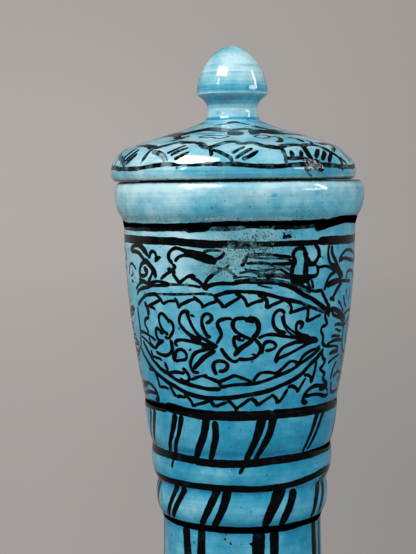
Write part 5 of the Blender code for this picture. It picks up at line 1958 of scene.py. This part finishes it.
def paper_painted_light(tree, settings, parts, distance):
    """Painted light and shade of the paper's glow: lighter on the left than on the right, and darker low down
    and close by.
    """
    across = parts.outputs["X"]
    height = parts.outputs["Z"]
    left = settings.backdrop_left
    right = settings.backdrop_right
    spread = maths(tree, "MULTIPLY_ADD", distance, TONE_WIDENING, (-1300, -250))
    spread.node.inputs[2].default_value = TONE_HALF_WIDTH
    aside = maths(tree, "DIVIDE", across, spread, (-1100, -50))
    aside = remap(tree, aside, -1.0, 1.0, 1.0, 0.0, (-900, -50))
    lit = mix_colour(tree, aside, rgba(right), rgba(left), (-650, -50))
    low_left = rgba([value * LOW_LEFT_SHADE for value in left])
    low_right = rgba([value * LOW_RIGHT_SHADE for value in right])
    dim = mix_colour(tree, aside, low_right, low_left, (-650, -250))
    low = remap(tree, height, -0.001, 0.18, 0.0, 0.5, (-1100, -600))
    far = remap(tree, distance, 0.5, 2.4, 0.0, 0.5, (-1100, -300))
    raised = maths(tree, "ADD", low, far, (-900, -300))
    shade = mix_colour(tree, raised, dim, lit, (-450, -100))
    top = remap(tree, height, 0.4, 0.9, 0.0, 0.5, (-900, -750))
    return mix_colour(tree, top, shade, rgba(right), (-300, -100))


def paper_material(settings, name):
    """Plain grey paper: takes the vase's shadow near it, glows with painted light and shade further off,
    clear from behind.
    """
    material, tree, shader = new_material(name)
    shader.inputs["Roughness"].default_value = PAPER_ROUGHNESS
    shader.inputs["Specular IOR Level"].default_value = PAPER_SHINE
    place = node(tree, "ShaderNodeTexCoord", (-1300, 0)).outputs["Object"]
    fibres = noise(tree, place, 40.0, 3.0, 0.6, (-1000, 250))
    dark = [value * FIBRE_SHADE for value in settings.floor]
    paper = mix_colour(tree, fibres, rgba(dark), rgba(settings.floor), (-700, 250))
    tree.links.new(paper, shader.inputs["Base Color"])
    parts = node(tree, "ShaderNodeSeparateXYZ", (-1500, -100))
    tree.links.new(place, parts.inputs[0])
    level = node(tree, "ShaderNodeVectorMath", (-1500, -450), operation="LENGTH")
    tree.links.new(stretched(tree, place, (1.0, 1.0, 0.0), (-1650, -450)), level.inputs[0])
    distance = level.outputs["Value"]
    glow = node(tree, "ShaderNodeEmission", (-200, -150))
    tree.links.new(paper_painted_light(tree, settings, parts, distance), glow.inputs["Color"])
    reach = remap(tree, distance, PAPER_NEAR, PAPER_FAR, 0.0, 1.0, (-900, -450))
    seen = node(tree, "ShaderNodeLightPath", (-900, -700))
    mirrored = seen.outputs["Is Glossy Ray"]
    shown = maths(tree, "MAXIMUM", seen.outputs["Is Camera Ray"], mirrored, (-750, -700))
    share = maths(tree, "MULTIPLY", reach, shown, (-600, -500))
    blend = mix_shaders(tree, share, shader, glow, (100, 100))
    behind = node(tree, "ShaderNodeNewGeometry", (100, -250)).outputs["Backfacing"]
    before = remap(tree, parts.outputs["Y"], 0.1, 0.6, 1.0, UNMIRRORED_BEHIND, (-300, -500))
    above = remap(tree, parts.outputs["Z"], 0.9, 1.7, 0.0, 1.0, (-300, -650))
    before = maths(tree, "MAXIMUM", before, above, (-150, -600))
    hidden = maths(tree, "MULTIPLY", before, mirrored, (-100, -500))
    hidden = maths(tree, "MAXIMUM", hidden, behind, (200, -350))
    clear_paper = node(tree, "ShaderNodeBsdfTransparent", (100, -50))
    facing = mix_shaders(tree, hidden, blend, clear_paper, (300, 100))
    tree.links.new(facing.outputs[0], tree.nodes["Material Output"].inputs["Surface"])
    return material


def round_stage(name, section, material):
    """A stage piece turned about the vase's axis."""
    points = []
    for step in range(STAGE_STEPS):
        angle = math.tau * step / STAGE_STEPS
        for radius, height in section:
            points.append((radius * math.sin(angle), -radius * math.cos(angle), height))
    mesh = bpy.data.meshes.new(name)
    mesh.from_pydata(points, [], ring_faces(STAGE_STEPS, len(section), False))
    mesh.flip_normals()
    mesh.shade_smooth()
    mesh.materials.append(material)
    piece = linked(name, mesh)
    return piece


def sweep(settings):
    """Pale floor that curves up into a backdrop all round, far enough off to walk round the vase."""
    material = paper_material(settings, "backdrop_paper")
    round_stage("studio_floor", [(radius, FLOOR_LEVEL) for radius in FLOOR_RADII], material)
    wall = []
    for step in range(SWEEP_STEPS + 1):
        angle = math.pi / 2 * step / SWEEP_STEPS
        radius = FLOOR_RADII[-1] + SWEEP_RADIUS * math.sin(angle)
        wall.append((radius, SWEEP_RADIUS - SWEEP_RADIUS * math.cos(angle) + FLOOR_LEVEL))
    wall.append((BACKDROP_RADIUS, BACKDROP_TOP))
    backdrop = round_stage("studio_backdrop", wall, material)
    backdrop.visible_diffuse = False
    backdrop.visible_shadow = False


def soft_lamp(name, azimuth, elevation, distance, width, height, power, colour):
    """A rectangular lamp that faces the bowl, at angles seen from the vase."""
    light = bpy.data.lights.new(name, "AREA")
    light.shape = "RECTANGLE"
    light.size = width
    light.size_y = height
    light.energy = power
    light.color = colour
    lamp = linked(name, light)
    flat = math.radians(azimuth)
    up = math.radians(elevation)
    aim = Vector((math.sin(flat) * math.cos(up), -math.cos(flat) * math.cos(up), math.sin(up)))
    lamp.location = LAMP_TARGET + aim * distance
    lamp.rotation_euler = aim.to_track_quat("Z", "Y").to_euler()
    lamp.visible_camera = False
    return lamp


def viewpoint():
    """The camera at the photograph's viewing angle."""
    camera = bpy.data.cameras.new("camera")
    camera.sensor_fit = "VERTICAL"
    camera.sensor_height = SENSOR_HEIGHT
    camera.lens = SENSOR_HEIGHT * FOCAL_PIXELS / PICTURE_PIXELS
    camera.clip_start = CLIP_START
    view = linked("camera", camera)
    pitch = math.atan(AIM_BELOW / FOCAL_PIXELS)
    yaw = math.atan(AIM_LEFT / FOCAL_PIXELS)
    ahead = Vector((-math.sin(yaw) * math.cos(pitch), math.cos(yaw) * math.cos(pitch), -math.sin(pitch)))
    right = Vector((math.cos(yaw), math.sin(yaw), 0.0))
    up = right.cross(ahead)
    side = right * math.cos(CAMERA_ROLL) - up * math.sin(CAMERA_ROLL)
    head = right * math.sin(CAMERA_ROLL) + up * math.cos(CAMERA_ROLL)
    turn = Matrix((side, head, -ahead)).transposed().to_4x4()
    view.matrix_world = Matrix.Translation(CAMERA_PLACE) @ turn
    bpy.context.scene.camera = view


class VASE_OT_stage(bpy.types.Operator):
    """Sets up the camera, the lamps, the floor and the backdrop"""

    bl_idname = "vase.stage"
    bl_label = "Stage"

    def execute(self, context):
        settings = context.scene.vase_stage_settings
        context.scene.view_settings.view_transform = "Standard"
        viewpoint()
        sweep(settings)
        for lamps, mirrored in ((MIRRORED_LAMPS, True), (FILL_LAMPS, False)):
            for name, azimuth, elevation, distance, width, height, setting, share, colour in lamps:
                power = getattr(settings, setting) * share
                lamp = soft_lamp(name, azimuth, elevation, distance, width, height, power, colour)
                lamp.visible_glossy = mirrored
        world = bpy.data.worlds.new("room")
        world.use_nodes = True
        room = world.node_tree.nodes["Background"]
        room.inputs["Color"].default_value = ROOM_COLOUR
        room.inputs["Strength"].default_value = settings.ambient
        context.scene.world = world
        return {"FINISHED"}


class VASE_PT_panel(bpy.types.Panel):
    """Lists the steps that build the vase"""

    bl_idname = "VASE_PT_panel"
    bl_label = "Lidded vase"
    bl_space_type = "VIEW_3D"
    bl_region_type = "UI"
    bl_category = "Vase"

    def draw(self, context):
        for step in STEPS:
            self.layout.operator(step.bl_idname)
        for group in ("vase_glaze_settings", "vase_brush_settings", "vase_stage_settings"):
            settings = getattr(context.scene, group)
            for label in settings.__annotations__:
                self.layout.prop(settings, label)


STEPS = (
    VASE_OT_finishes,
    VASE_OT_body,
    VASE_OT_lid,
    VASE_OT_bowl_brushwork,
    VASE_OT_line_brushwork,
    VASE_OT_lid_brushwork,
    VASE_OT_stage,
)
CLASSES = (GlazeSettings, BrushSettings, StageSettings) + STEPS + (VASE_PT_panel,)


def register():
    """Adds the classes and the settings."""
    for item in CLASSES:
        bpy.utils.register_class(item)
    bpy.types.Scene.vase_glaze_settings = bpy.props.PointerProperty(type=GlazeSettings)
    bpy.types.Scene.vase_brush_settings = bpy.props.PointerProperty(type=BrushSettings)
    bpy.types.Scene.vase_stage_settings = bpy.props.PointerProperty(type=StageSettings)


def unregister():
    """Takes the settings and the classes away."""
    del bpy.types.Scene.vase_stage_settings
    del bpy.types.Scene.vase_brush_settings
    del bpy.types.Scene.vase_glaze_settings
    for item in reversed(CLASSES):
        bpy.utils.unregister_class(item)


def main():
    """Builds every piece in order."""
    register()
    bpy.ops.vase.finishes()
    bpy.ops.vase.body()
    bpy.ops.vase.lid()
    bpy.ops.vase.bowl_brushwork()
    bpy.ops.vase.line_brushwork()
    bpy.ops.vase.lid_brushwork()
    bpy.ops.vase.stage()


if __name__ == "__main__":
    main()
